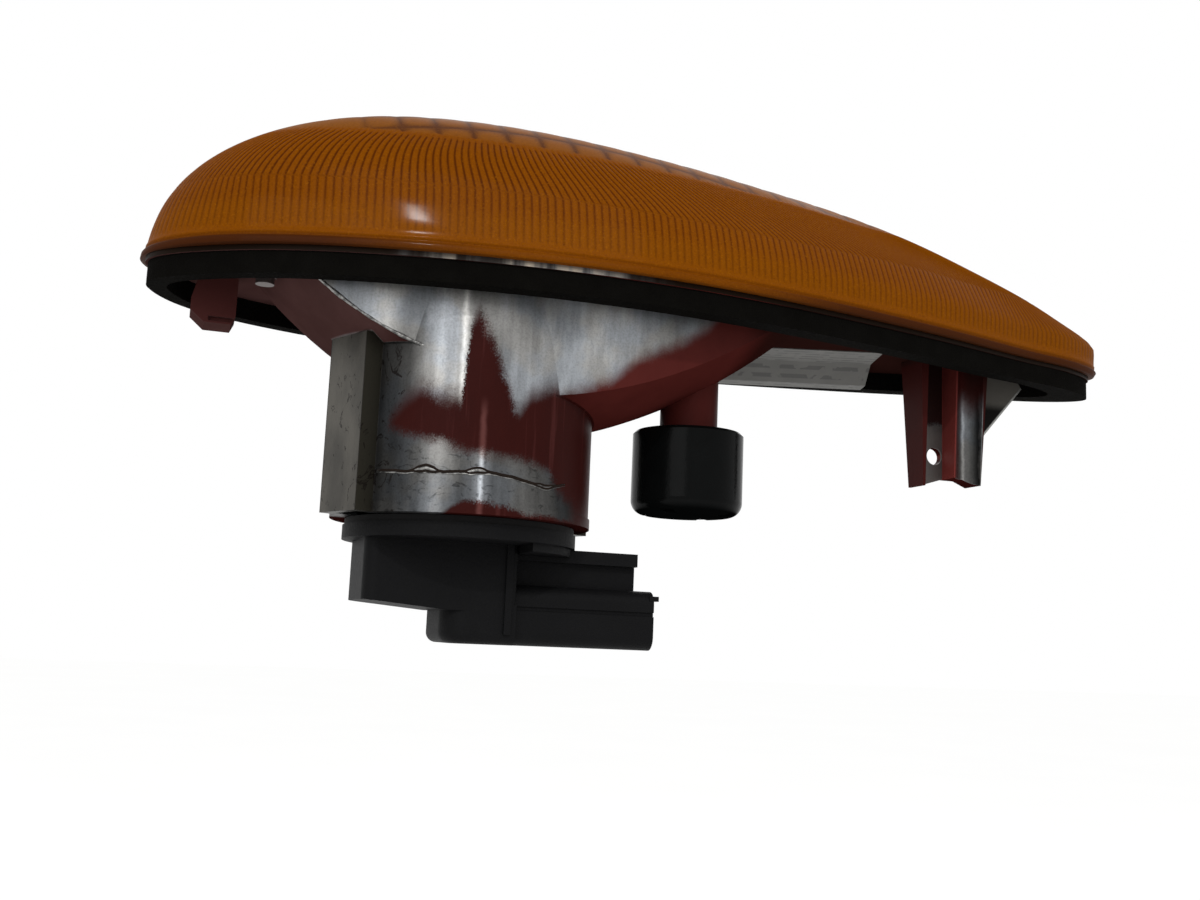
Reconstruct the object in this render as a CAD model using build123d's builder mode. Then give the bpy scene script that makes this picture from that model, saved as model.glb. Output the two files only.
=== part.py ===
from build123d import *
import math
import os

# Side repeater lamp for a car's wing, in millimetres.
# The origin is where the axis of the bulb tube meets the body panel, on which the gasket rests.
# +Z points out of the panel through the lens, and +X runs from the blunt nose to the tapered tail.

# Lens
lens_length = 176.1
lens_half_width = 27.7
lens_height = 29.2
lens_wall = 2.4
nose_reach = 51.8
crest_reach = 9.0
nose_roundness = 2.25
tail_fall = 1.9
tail_roundness = 0.62
tail_heel = 28.0
tail_heel_fall = 6.0
top_fullness = 0.4
rim_bead_height = 1.1
rim_bead_width = 0.5

# Half a teardrop, from nose to tail: shares of its length and of its half width
teardrop_shape = (
    (0.04, 0.426),
    (0.114, 0.697),
    (0.222, 0.897),
    (0.36, 1.0),
    (0.474, 0.975),
    (0.645, 0.776),
    (0.80, 0.516),
    (0.89, 0.347),
    (0.955, 0.231),
)
lens_rises = (0.0, 0.12, 0.3, 0.55, 0.75, 0.88, 0.96, 0.995)

# Gasket
gasket_thickness = 3.4
gasket_inset = 1.0
gasket_width = 3.5
gasket_nose_width = 3.0
gasket_tail_width = 9.0

# Housing flange
flange_edge = 0.8
flange_inset = 0.6
platform_height = 1.5
platform_gap = 0.8
fit_gap = 0.3
housing_wall = 2.2

# Reflector bowl: a short parabola towards the nose and a long one towards the tail
bowl_half_width = 20.4
bowl_draft = 6.0
bowl_lap = 1.0
nose_bowl_depth = 14.0
nose_bowl_setback = 15.0
nose_bowl_rise = 4.0
nose_bowl_taper = 12.0
tail_bowl_depth = 19.1
tail_bowl_setback = 65.7
tail_bowl_rise = 4.6
tail_bowl_taper = 4.0

# Bulb tube, its two keels and the ledge that the holder locks behind
tube_radius = 20.6
tube_wall = 3.0
tube_length = 33.0
tube_rim = 0.25
tube_rim_height = 1.6
ledge_reach = 2.0
ledge_height = 3.5
notch_width = 8.4
keel_width = 10.0
keel_height = 2.4
keel_length = 27.0
keel_turn = 24.0
keel_channel_width = 6.0
keel_channel_height = 16.0
keel_skin = 1.6

# Vent pipe and its breather cap
vent_reach = 39.4
vent_radius = 5.0
vent_bore = 3.0
vent_length_in_cap = 9.6
cap_radius = 9.6
cap_height = 14.4
cap_wall = 1.6
cap_gap = 1.7
cap_bore_gap = 0.05
cap_lip = 0.5
cap_round = 2.4
cap_notch_count = 4
cap_notch_width = 2.2
cap_notch_depth = 2.4

# Screw tower and its snap fin, set back from the tail of the lens
tower_setback = 34.2
tower_length = 14.3
tower_front = 5.4
tower_back = 1.5
tower_drop = 20.3
tower_taper = 2.5
tower_post = 1.5
tower_channel = 6.0
tower_web_back = 0.8
tower_rib = 0.4
tower_rib_lift = 1.9
tower_groove_radius = 2.7
tower_lip_drop = 0.8
screw_radius = 1.6
screw_drop = 14.2
screw_setback = 1.8
fin_length = 10.9
fin_drop = 14.0
fin_thickness = 1.6
fin_root = 1.8
fin_peak = 0.5
fin_neck = 1.6
fin_neck_height = 2.7

# Nose hook, set back from the nose of the lens, and a small peg beside the bowl
hook_setback = 10.8
hook_length = 6.7
hook_drop = 5.0
hook_depth = 6.0
hook_lean = 1.2
hook_shoulder = 1.5
hook_toe = 3.2
hook_toe_length = 2.1
hook_heel = 3.7
hook_heel_length = 0.6
hook_groove = 0.7
hook_groove_length = 4.0
hook_groove_level = 4.35
peg_setback = 17.8
peg_offset = 8.0
peg_radius = 1.4
peg_height = 2.8

# Label, a sheet that lies on the flange and laps over the far side of the gasket
label_thickness = 0.15
label_length = 28.0
label_width = 18.0
label_lap = 4.2
label_ramp = 4.3
label_skew = -4.0
label_gap = 1.9
label_overhang = 1.0
label_clearance = 0.4

# Bulb holder: flange, locking collar, socket, block and plug socket
twist_angle = 35.0
lug_angle = 24.0
lug_height = 2.7
run_gap = 0.4
seal_gap = 0.1
seal_thickness = 1.0
seal_width = 2.6
holder_radius = 18.7
holder_flange = 2.2
holder_step_height = 1.3
holder_step_inset = 0.7
collar_wall = 2.0
collar_height = 10.1
socket_radius = 10.6
socket_height = 13.1
bulb_gap = 0.25
well_radius = 6.8
well_depth = 2.7
block_half_width = 8.5
block_nose = 16.2
block_tail = 7.8
block_heel_drop = 9.3
block_heel_slope = 1.2
block_heel_reach = 3.6
block_drop = 15.6
block_round = 2.0
block_edge_round = 0.9
block_foot_round = 4.0
block_foot_edge = 1.6
block_rib_width = 1.1
block_rib_height = 0.5

# Plug socket on the holder
plug_reach = 31.4
plug_half_width = 7.0
plug_height = 9.6
plug_wall = 1.4
plug_round = 2.2
plug_floor = 5.2
plug_groove = 0.35
plug_groove_height = 5.8
rail_reach = 29.0
rail_height = 2.1
rail_half_width = 5.0
rail_web = 7.0
nub_size = 0.8
overlap = 1.0

# Terminals
blade_thickness = 0.8
blade_height = 2.8
blade_spread = 2.6
blade_reach = 28.0
arm_height = 1.5
riser_width = 2.2
finger_height = 15.0
finger_gap = 0.03

# Bulb: a 21 watt bayonet bulb with a 15 mm cap
bulb_pin_to_light = 31.8
bulb_glass_radius = 13.25
bulb_neck_radius = 7.0
bulb_glass_wall = 0.7
cap_shell_radius = 7.5
cap_shell_wall = 0.35
cap_below_pins = 5.5
cap_above_pins = 11.0
pin_radius = 1.0
pin_length = 1.9
insulator_height = 1.0
contact_radius = 3.4
contact_height = 0.7
glass_in_cap = 3.0
stem_radius = 2.5
stem_height = 14.0
stem_foot = 1.0
wire_radius = 0.35
wire_spread = 1.4
filament_radius = 0.45
filament_length = 5.2
filament_tail = 0.455
pin_slot_end = 8.0

# Levels and places that follow from the sizes above
lens_foot = gasket_thickness + flange_edge
lens_nose = -nose_reach
lens_tail = lens_length - nose_reach
platform_top = lens_foot + platform_height
nose_bowl_reach = nose_reach - nose_bowl_setback
tail_bowl_reach = lens_tail - tail_bowl_setback
nose_bowl_focus = nose_bowl_reach**2 / (4 * (platform_top + nose_bowl_depth))
tail_bowl_focus = tail_bowl_reach**2 / (4 * (platform_top + tail_bowl_depth))
tube_bore = tube_radius - tube_wall
ledge_radius = tube_bore - ledge_reach
ledge_top = -tube_length + ledge_height
seal_top = -tube_length - seal_gap
holder_top = seal_top - seal_thickness
holder_bottom = holder_top - holder_flange
collar_radius = ledge_radius - run_gap
block_bottom = holder_bottom - block_drop
plug_top = block_bottom + plug_height
blade_level = block_bottom + plug_height / 2
cap_shell_bottom = holder_bottom + run_gap
pin_level = cap_shell_bottom + cap_below_pins
light_level = pin_level + bulb_pin_to_light
contact_bottom = cap_shell_bottom - insulator_height - contact_height


def teardrop(nose, tail, half_width, level, fullness=1.0):
    """A level teardrop face that is symmetric about the X axis."""
    length = tail - nose
    left = [(nose + along * length, half_width * across**fullness) for along, across in teardrop_shape]
    right = [(x, -y) for x, y in reversed(left)]
    with BuildSketch(Plane.XY.offset(level)) as face:
        with BuildLine():
            Spline((nose, 0), *left, (tail, 0), *right, periodic=True)
        make_face()
    return face.sketch


def lens_outline(inset, level):
    """The teardrop of the lens's foot, drawn in by an inset."""
    return teardrop(lens_nose + inset, lens_tail - inset, lens_half_width - inset, level)


def lens_section(rise, inset):
    """A level section of the dome, where rise goes from 0 at the foot to 1 at the crest."""
    nose_span = crest_reach - lens_nose - inset
    tail_span = lens_tail - inset - crest_reach
    nose = crest_reach - nose_span * (1 - rise**nose_roundness) ** (1 / nose_roundness)
    tail = crest_reach + tail_span * (1 - rise**tail_fall) ** tail_roundness
    tail += tail_heel * rise * (1 - rise) ** tail_heel_fall
    half_width = (lens_half_width - inset) * math.sqrt(1 - rise**2)
    level = lens_foot + rise * (lens_height - inset)
    return teardrop(nose, tail, half_width, level, fullness=1 - top_fullness * rise)


def bowl_sections(side, depth, focus, rise, taper, inset, top, start):
    """Long sections of half a bowl, from start outwards, at its two drafted walls and at its middle."""
    half_width = bowl_half_width - inset
    sections = []
    for across in (-1, 0, 1):
        lean = math.radians(across * bowl_draft)
        turn = math.radians(-side * across * taper)
        wall = Plane(
            origin=(0, across * half_width, 0),
            x_dir=(math.cos(turn), math.sin(turn), 0),
            z_dir=(math.sin(turn) * math.cos(lean), -math.cos(turn) * math.cos(lean), math.sin(lean)),
        )
        rim = top / math.cos(lean)
        apex = inset - depth + abs(across) * rise
        reach = math.sqrt(4 * focus * (rim - apex))
        root = apex + start**2 / (4 * focus)
        bend = apex + start * reach / (4 * focus)
        with BuildSketch(wall) as section:
            with BuildLine():
                Line((side * start, rim), (side * start, root))
                Bezier((side * start, root), (side * (start + reach) / 2, bend), (side * reach, rim))
                Line((side * reach, rim), (side * start, rim))
            make_face()
        sections.append(section.sketch)
    return sections


def nose_bowl(inset, top, start):
    return bowl_sections(
        -1, nose_bowl_depth, nose_bowl_focus, nose_bowl_rise, nose_bowl_taper, inset, top, start
    )


def tail_bowl(inset, top, start):
    return bowl_sections(
        1, tail_bowl_depth, tail_bowl_focus, tail_bowl_rise, tail_bowl_taper, inset, top, start
    )


def tail_bowl_level(x):
    """Height of the tail bowl's outside on its middle line."""
    return x**2 / (4 * tail_bowl_focus) - tail_bowl_depth


# Lens: a thin dome on a plain foot, with a bead round its rim
with BuildPart() as lens:
    loft([lens_section(rise, 0) for rise in lens_rises])
    extrude(lens_outline(-rim_bead_width, lens_foot), amount=rim_bead_height)
    loft([lens_section(rise, lens_wall) for rise in lens_rises], mode=Mode.SUBTRACT)

# Breather cap: a cup on the vent pipe, clear of the bowl's slope
cap_top = tail_bowl_level(vent_reach - cap_radius) - cap_gap
cap_bottom = cap_top - cap_height
vent_end = cap_top - vent_length_in_cap
with BuildPart() as breather_cap:
    with BuildSketch(Plane.XY.offset(cap_bottom)):
        with Locations((vent_reach, 0)):
            Circle(cap_radius)
    extrude(amount=cap_height)
    fillet(breather_cap.edges().group_by(Axis.Z)[0], radius=cap_round)
    chamfer(breather_cap.edges().group_by(Axis.Z)[-1], length=cap_lip)
    with BuildSketch(Plane.XY.offset(cap_bottom + cap_wall)):
        with Locations((vent_reach, 0)):
            Circle(cap_radius - cap_wall)
    extrude(amount=cap_height - 2 * cap_wall, mode=Mode.SUBTRACT)
    with BuildSketch(Plane.XY.offset(cap_top)):
        with Locations((vent_reach, 0)):
            Circle(vent_radius + cap_bore_gap)
    extrude(amount=-2 * cap_wall, mode=Mode.SUBTRACT)
    with BuildSketch(Plane.XY.offset(cap_bottom)):
        with Locations((vent_reach, 0)):
            with PolarLocations(cap_radius - cap_round, cap_notch_count, start_angle=45):
                Rectangle(cap_round, cap_notch_width)
    extrude(amount=cap_notch_depth, mode=Mode.SUBTRACT)

# Housing: flange, reflector bowl, bulb tube, vent pipe, screw tower and hook in one moulding
tower_tail = lens_tail - tower_setback + tower_length / 2
tower_nose = tower_tail - tower_length
channel_nose = tower_nose + tower_post
channel_tail = channel_nose + tower_channel
groove_middle = channel_tail + tower_rib + tower_groove_radius
tower_height = tower_drop + gasket_thickness
fin_tip = tower_tail + fin_length
hook_nose = lens_nose + hook_setback - hook_length / 2
hook_tail = hook_nose + hook_length
with BuildPart() as housing:
    extrude(lens_outline(flange_inset, gasket_thickness), amount=flange_edge)
    extrude(lens_outline(lens_wall + platform_gap, lens_foot), amount=platform_height)
    loft(nose_bowl(0, platform_top, bowl_lap))
    loft(tail_bowl(0, platform_top, bowl_lap))
    with BuildSketch(Plane.XY.offset(-tube_length)):
        Circle(tube_radius)
    extrude(amount=tube_length + gasket_thickness)
    with BuildSketch(Plane.XY.offset(-tube_length)):
        Circle(tube_radius + tube_rim)
    extrude(amount=tube_rim_height)
    with BuildSketch(Plane.XY.offset(-tube_length)):
        with PolarLocations(tube_radius, 2, start_angle=keel_turn):
            Rectangle(2 * keel_height, keel_width)
    extrude(amount=keel_length)
    with BuildSketch(Plane.XY.offset(vent_end)):
        with Locations((vent_reach, 0)):
            Circle(vent_radius)
    extrude(amount=gasket_thickness - vent_end)
    # Inside of the bowl and of the tube
    loft(nose_bowl(housing_wall, platform_top + housing_wall, -bowl_lap), mode=Mode.SUBTRACT)
    loft(tail_bowl(housing_wall, platform_top + housing_wall, -bowl_lap), mode=Mode.SUBTRACT)
    with BuildSketch(Plane.XY.offset(ledge_top)):
        Circle(tube_bore)
    extrude(amount=gasket_thickness - ledge_top, mode=Mode.SUBTRACT)
    with BuildSketch(Plane.XY.offset(-tube_length)):
        Circle(ledge_radius)
        with PolarLocations(ledge_radius, 2, start_angle=keel_turn):
            Rectangle(2 * ledge_reach, notch_width)
    extrude(amount=ledge_height, mode=Mode.SUBTRACT)
    keel_reach = tube_radius + keel_height - keel_skin
    with BuildSketch(Plane.XY.offset(-tube_length)):
        with PolarLocations((ledge_radius + keel_reach) / 2, 2, start_angle=keel_turn):
            Rectangle(keel_reach - ledge_radius, keel_channel_width)
    extrude(amount=keel_channel_height, mode=Mode.SUBTRACT)
    with BuildSketch(Plane.XY.offset(vent_end)):
        with Locations((vent_reach, 0)):
            Circle(vent_bore)
    extrude(amount=gasket_thickness - vent_end, mode=Mode.SUBTRACT)
    # Screw tower: a post, a channel with the screw hole in its web, and a grooved wall
    with BuildSketch(Plane.XY.offset(gasket_thickness)):
        with Locations((tower_nose, -tower_front)):
            Rectangle(tower_length, tower_front + tower_back, align=Align.MIN)
    extrude(amount=-tower_height, taper=tower_taper)
    with BuildSketch(Plane.XY.offset(gasket_thickness)):
        with Locations((channel_nose, -tower_front)):
            Rectangle(tower_channel, tower_front - tower_web_back, align=Align.MIN)
        with Locations((groove_middle, -tower_front)):
            Circle(tower_groove_radius)
    extrude(amount=-tower_height, mode=Mode.SUBTRACT)
    with BuildSketch(Plane.XZ):
        with BuildLine():
            Polyline(
                (channel_nose, -tower_drop),
                (channel_tail, -tower_drop + tower_rib_lift),
                (groove_middle, -tower_drop + tower_rib_lift),
                (groove_middle + tower_groove_radius, -tower_drop + tower_lip_drop),
                (tower_tail, -tower_drop + tower_lip_drop),
                (tower_tail, -tower_drop - overlap),
                (channel_nose, -tower_drop - overlap),
                close=True,
            )
        make_face()
    extrude(amount=2 * tower_front, both=True, mode=Mode.SUBTRACT)
    with Locations(
        Plane(origin=(channel_tail - screw_setback, -tower_front, -screw_drop), z_dir=(0, -1, 0)).location
    ):
        Hole(screw_radius, depth=2 * tower_front)
    with BuildSketch(Plane.XZ):
        with BuildLine():
            Polyline(
                (tower_tail - fin_root, gasket_thickness),
                (tower_tail - fin_root, -fin_drop),
                (fin_tip, fin_peak),
                (fin_tip - fin_neck, fin_neck_height),
                (fin_tip - fin_neck, gasket_thickness),
                close=True,
            )
        make_face()
    extrude(amount=fin_thickness / 2, both=True)
    # Nose hook with a sloped toe and a grooved lower edge, and the peg
    with BuildSketch(Plane.XZ):
        with BuildLine():
            Polyline(
                (hook_nose + hook_lean, gasket_thickness),
                (hook_nose, -hook_shoulder),
                (hook_nose, -hook_toe),
                (hook_nose + hook_toe_length, -hook_drop),
                (hook_tail - hook_heel_length, -hook_drop),
                (hook_tail, -hook_heel),
                (hook_tail, gasket_thickness),
                close=True,
            )
        make_face()
    extrude(amount=hook_depth / 2, both=True)
    with BuildSketch(Plane.XZ.offset(hook_depth / 2)):
        with Locations((hook_tail, -hook_groove_level)):
            Rectangle(2 * hook_groove_length, hook_groove)
    extrude(amount=-hook_groove, mode=Mode.SUBTRACT)
    with BuildSketch(Plane.XY.offset(gasket_thickness)):
        with Locations((lens_nose + peg_setback, -peg_offset)):
            Circle(peg_radius)
    extrude(amount=-peg_height)

# Label: an S-shaped sheet along the gasket's straight stretch, cut back from the bowl
gasket_nose = lens_nose + gasket_inset
gasket_tail = lens_tail - gasket_inset
gasket_half_width = lens_half_width - gasket_inset
hole_nose = gasket_nose + gasket_nose_width
hole_tail = gasket_tail - gasket_tail_width
hole_half_width = gasket_half_width - gasket_width
stretch_start, stretch_end = (
    Vector(hole_nose + along * (hole_tail - hole_nose), across * hole_half_width)
    for along, across in teardrop_shape[5:7]
)
stretch_slope = (stretch_end.Y - stretch_start.Y) / (stretch_end.X - stretch_start.X)
label_turn = math.atan(stretch_slope) + math.radians(label_skew)
label_tail = tower_nose - label_gap
label_edge = stretch_start.Y + (label_tail - stretch_start.X) * stretch_slope + label_overhang
label_plane = Plane(
    origin=(label_tail, label_edge, 0),
    x_dir=(math.sin(label_turn), -math.cos(label_turn), 0),
    z_dir=(-math.cos(label_turn), -math.sin(label_turn), 0),
)
with BuildPart() as label:
    with BuildSketch(label_plane):
        with BuildLine():
            Polyline(
                (0, 0),
                (label_lap, 0),
                (label_lap + label_ramp, gasket_thickness - label_thickness),
                (label_width, gasket_thickness - label_thickness),
                (label_width, gasket_thickness),
                (label_lap + label_ramp, gasket_thickness),
                (label_lap, label_thickness),
                (0, label_thickness),
                close=True,
            )
        make_face()
    extrude(amount=label_length)
    loft(tail_bowl(-label_clearance, platform_top, bowl_lap), mode=Mode.SUBTRACT)

# Gasket: a foam ring on the back of the flange, pressed in by the label
with BuildPart() as gasket:
    extrude(teardrop(gasket_nose, gasket_tail, gasket_half_width, 0), amount=gasket_thickness)
    extrude(teardrop(hole_nose, hole_tail, hole_half_width, 0), amount=gasket_thickness, mode=Mode.SUBTRACT)
    add(label.part, mode=Mode.SUBTRACT)

# Terminals: flat stampings, each with a blade in the plug socket
riser_tail = block_tail + plug_floor - overlap
with BuildPart() as live_terminal:
    with BuildSketch(Plane.XZ.offset(blade_spread)):
        with BuildLine():
            Polyline(
                (-contact_radius, contact_bottom),
                (riser_tail, contact_bottom),
                (riser_tail, blade_level + blade_height / 2),
                (blade_reach, blade_level + blade_height / 2),
                (blade_reach, blade_level - blade_height / 2),
                (riser_tail - riser_width, blade_level - blade_height / 2),
                (riser_tail - riser_width, contact_bottom - arm_height),
                (-contact_radius, contact_bottom - arm_height),
                close=True,
            )
        make_face()
    extrude(amount=blade_thickness / 2, both=True)

finger_nose = math.sqrt(cap_shell_radius**2 - (blade_spread - blade_thickness / 2) ** 2) + finger_gap
with BuildPart() as earth_terminal:
    with BuildSketch(Plane.XZ.offset(-blade_spread)):
        with BuildLine():
            Polyline(
                (finger_nose, holder_bottom + finger_height),
                (finger_nose + riser_width, holder_bottom + finger_height),
                (finger_nose + riser_width, blade_level + blade_height / 2),
                (blade_reach, blade_level + blade_height / 2),
                (blade_reach, blade_level - blade_height / 2),
                (finger_nose, blade_level - blade_height / 2),
                close=True,
            )
        make_face()
    extrude(amount=blade_thickness / 2, both=True)

# Rubber seal between the holder's flange and the mouth of the tube
with BuildPart() as holder_seal:
    with BuildSketch(Plane.XY.offset(holder_top)):
        Circle(holder_radius - fit_gap)
        Circle(holder_radius - fit_gap - seal_width, mode=Mode.SUBTRACT)
    extrude(amount=seal_thickness)

# Foot of the holder's block, with rounded corners
with BuildPart() as block_foot:
    with BuildSketch(Plane.XY.offset(block_bottom)) as foot_plan:
        with Locations((-block_heel_reach, 0)):
            Rectangle(block_heel_reach + block_tail, 2 * block_half_width, align=(Align.MIN, Align.CENTER))
        fillet(foot_plan.vertices().group_by(Axis.X)[0], radius=block_foot_round)
    extrude(amount=block_drop - block_heel_drop)
    fillet(block_foot.edges().group_by(Axis.Z)[0].sort_by(Axis.X)[:-1], radius=block_foot_edge)

# Bulb holder: flange, locking collar, bulb socket, block and plug socket in one moulding
lug_turn = keel_turn + twist_angle
lug_bottom = ledge_top + fit_gap
socket_bore = cap_shell_radius + bulb_gap
pin_slot_width = 2 * (pin_radius + bulb_gap)
with BuildPart() as bulb_holder:
    with BuildSketch(Plane.XY.offset(holder_bottom)):
        Circle(holder_radius)
    extrude(amount=holder_flange)
    with BuildSketch(Plane.XY.offset(holder_bottom)):
        Circle(holder_radius - holder_step_inset)
        with Locations((block_tail, 0)):
            Rectangle(
                2 * holder_radius,
                2 * holder_radius,
                align=(Align.MAX, Align.CENTER),
                mode=Mode.SUBTRACT,
            )
    extrude(amount=-holder_step_height)
    with BuildSketch(Plane.XY.offset(holder_top)):
        Circle(collar_radius)
        Circle(collar_radius - collar_wall, mode=Mode.SUBTRACT)
    extrude(amount=collar_height)
    with BuildSketch(Plane.XZ):
        with Locations((collar_radius - collar_wall / 2, lug_bottom)):
            Rectangle(tube_bore - run_gap - collar_radius + collar_wall / 2, lug_height, align=Align.MIN)
    lug = revolve(axis=Axis.Z, revolution_arc=lug_angle, mode=Mode.PRIVATE)
    add(lug.rotate(Axis.Z, lug_turn - lug_angle / 2))
    add(lug.rotate(Axis.Z, lug_turn - lug_angle / 2 + 180))
    with BuildSketch(Plane.XY.offset(holder_bottom)):
        Circle(socket_radius)
    extrude(amount=socket_height)
    # Block under the flange, with its heel cut away
    with BuildSketch(Plane.XY.offset(holder_bottom)) as block_plan:
        with Locations((-block_nose, 0)):
            Rectangle(block_nose + block_tail, 2 * block_half_width, align=(Align.MIN, Align.CENTER))
        fillet(block_plan.vertices().group_by(Axis.X)[0], radius=block_round)
        fillet(block_plan.vertices().group_by(Axis.X)[-1], radius=block_edge_round)
    extrude(amount=-block_drop)
    heel_nose = -block_nose - block_round
    heel_top = holder_bottom - block_heel_drop
    with BuildSketch(Plane.XZ):
        with BuildLine():
            Polyline(
                (heel_nose, heel_top),
                (-block_heel_reach, heel_top - block_heel_slope),
                (block_tail + block_round, heel_top - block_heel_slope),
                (block_tail + block_round, block_bottom - block_round),
                (heel_nose, block_bottom - block_round),
                close=True,
            )
        make_face()
    extrude(amount=2 * block_half_width, both=True, mode=Mode.SUBTRACT)
    add(block_foot.part)
    with BuildSketch(Plane.XY.offset(holder_bottom)):
        with Locations((block_tail - block_edge_round, 0)):
            Rectangle(
                block_rib_width,
                2 * (block_half_width + block_rib_height),
                align=(Align.MAX, Align.CENTER),
            )
    extrude(amount=block_foot_edge - block_drop)
    # Plug socket, with a rail above it on a web
    with BuildSketch(Plane.YZ.offset(block_tail - overlap)) as plug_plan:
        with Locations((0, block_bottom)):
            Rectangle(2 * plug_half_width, plug_height, align=(Align.CENTER, Align.MIN))
        fillet(plug_plan.vertices().group_by(Axis.Z)[0], radius=plug_round)
    extrude(amount=plug_reach - block_tail + overlap)
    with BuildSketch(Plane.YZ.offset(block_tail - overlap)):
        with Locations((0, holder_bottom)):
            Rectangle(2 * rail_half_width, rail_height, align=(Align.CENTER, Align.MAX))
            Rectangle(rail_web, holder_bottom - plug_top, align=(Align.CENTER, Align.MAX))
    extrude(amount=rail_reach - block_tail + overlap)
    with BuildSketch(Plane.YZ.offset(block_tail + plug_floor)):
        with Locations((0, block_bottom + plug_wall)):
            Rectangle(
                2 * (plug_half_width - plug_wall),
                plug_height - 2 * plug_wall,
                align=(Align.CENTER, Align.MIN),
            )
    extrude(amount=plug_reach - block_tail, mode=Mode.SUBTRACT)
    with BuildSketch(Plane.YZ.offset(block_tail)):
        with Locations((-plug_half_width, block_bottom + plug_groove_height)):
            Rectangle(2 * plug_groove, 2 * plug_groove)
        with Locations((plug_half_width, block_bottom + plug_groove_height)):
            Rectangle(2 * plug_groove, 2 * plug_groove)
    extrude(amount=plug_reach, mode=Mode.SUBTRACT)
    with BuildSketch(Plane.YZ.offset(plug_reach - nub_size)):
        with Locations((0, plug_top - nub_size)):
            Rectangle(2 * plug_half_width, nub_size, align=(Align.CENTER, Align.MAX))
            Rectangle(2 * (plug_half_width - plug_wall), 2 * nub_size, mode=Mode.SUBTRACT)
    extrude(amount=2 * nub_size)
    # Bulb socket: bore, well for the contact, and the two hooked slots for the bulb's pins
    with BuildSketch(Plane.XY.offset(holder_bottom)):
        Circle(socket_bore)
    extrude(amount=socket_height, mode=Mode.SUBTRACT)
    with BuildSketch(Plane.XY.offset(holder_bottom)):
        Circle(well_radius)
    extrude(amount=-well_depth, mode=Mode.SUBTRACT)
    pin_slot_reach = cap_shell_radius + pin_length + bulb_gap
    with BuildSketch(Plane.XY.offset(pin_level - pin_slot_width / 2)):
        with PolarLocations(pin_slot_reach / 2, 2, start_angle=90 - twist_angle):
            Rectangle(pin_slot_reach, pin_slot_width)
    extrude(amount=socket_height, mode=Mode.SUBTRACT)
    with BuildSketch(Plane.XZ):
        with Locations((0, pin_level)):
            Rectangle(pin_slot_reach, pin_slot_width, align=(Align.MIN, Align.CENTER))
    hook_slot = revolve(axis=Axis.Z, revolution_arc=twist_angle + pin_slot_end, mode=Mode.PRIVATE)
    add(hook_slot.rotate(Axis.Z, 90 - twist_angle), mode=Mode.SUBTRACT)
    add(hook_slot.rotate(Axis.Z, 270 - twist_angle), mode=Mode.SUBTRACT)
    # Slots that the terminals are pressed into
    add(live_terminal.part, mode=Mode.SUBTRACT)
    add(earth_terminal.part, mode=Mode.SUBTRACT)

# Bulb
with BuildPart() as bulb_cap:
    with BuildSketch(Plane.XY.offset(cap_shell_bottom)):
        Circle(cap_shell_radius)
        Circle(cap_shell_radius - cap_shell_wall, mode=Mode.SUBTRACT)
    extrude(amount=cap_below_pins + cap_above_pins)
    with BuildSketch(Plane.XZ):
        with Locations((0, pin_level)):
            Circle(pin_radius)
    extrude(amount=2 * cap_shell_radius, both=True, mode=Mode.SUBTRACT)

with BuildPart() as bulb_pins:
    for side in (-1, 1):
        with BuildSketch(Plane.XZ.offset(side * (cap_shell_radius - cap_shell_wall))):
            with Locations((0, pin_level)):
                Circle(pin_radius)
        extrude(amount=side * (pin_length + cap_shell_wall))

with BuildPart() as bulb_insulator:
    with BuildSketch(Plane.XY.offset(cap_shell_bottom)):
        Circle(cap_shell_radius - cap_shell_wall)
    extrude(amount=cap_below_pins / 2)
    with BuildSketch(Plane.XY.offset(cap_shell_bottom)):
        Circle(cap_shell_radius - cap_shell_wall)
    with BuildSketch(Plane.XY.offset(cap_shell_bottom - insulator_height)):
        Circle(contact_radius + insulator_height)
    loft()

with BuildPart() as bulb_contact:
    with BuildSketch(Plane.XY.offset(contact_bottom)):
        Circle(contact_radius)
    extrude(amount=contact_height)
    chamfer(bulb_contact.edges().group_by(Axis.Z)[0], length=contact_height / 2)

cap_shell_top = cap_shell_bottom + cap_below_pins + cap_above_pins
glass_bottom = cap_shell_top - glass_in_cap


def envelope(inset):
    """Half the section of the bulb's glass: a ball on a neck."""
    ball = bulb_glass_radius - inset
    neck = bulb_neck_radius - inset
    join = light_level - math.sqrt(ball**2 - neck**2)
    with BuildSketch(Plane.XZ) as half:
        with BuildLine():
            Polyline((0, light_level + ball), (0, glass_bottom), (neck, glass_bottom), (neck, join))
            ThreePointArc((neck, join), (ball, light_level), (0, light_level + ball))
        make_face()
    return half.sketch


with BuildPart() as bulb_glass:
    revolve(envelope(0), axis=Axis.Z)
    revolve(envelope(bulb_glass_wall), axis=Axis.Z, mode=Mode.SUBTRACT)

stem_bottom = glass_bottom
stem_top = stem_bottom + stem_height
with BuildPart() as bulb_stem:
    with BuildSketch(Plane.XY.offset(stem_bottom)):
        Circle(bulb_neck_radius - bulb_glass_wall)
    extrude(amount=stem_foot)
    with BuildSketch(Plane.XY.offset(stem_bottom)):
        Circle(stem_radius)
    extrude(amount=stem_height)

filament_end = filament_length / 2 + filament_tail
with BuildPart() as bulb_lead_wires:
    for side in (-1, 1):
        with BuildSketch(Plane.XY.offset(stem_top)):
            with Locations((side * wire_spread, 0)):
                Circle(wire_radius)
        with BuildSketch(Plane.XY.offset(light_level + wire_radius)):
            with Locations((side * filament_end, 0)):
                Circle(wire_radius)
        loft()

with BuildPart() as bulb_filament:
    with BuildSketch(Plane.YZ):
        with Locations((0, light_level)):
            Circle(filament_radius)
    extrude(amount=filament_length / 2, both=True)

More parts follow.
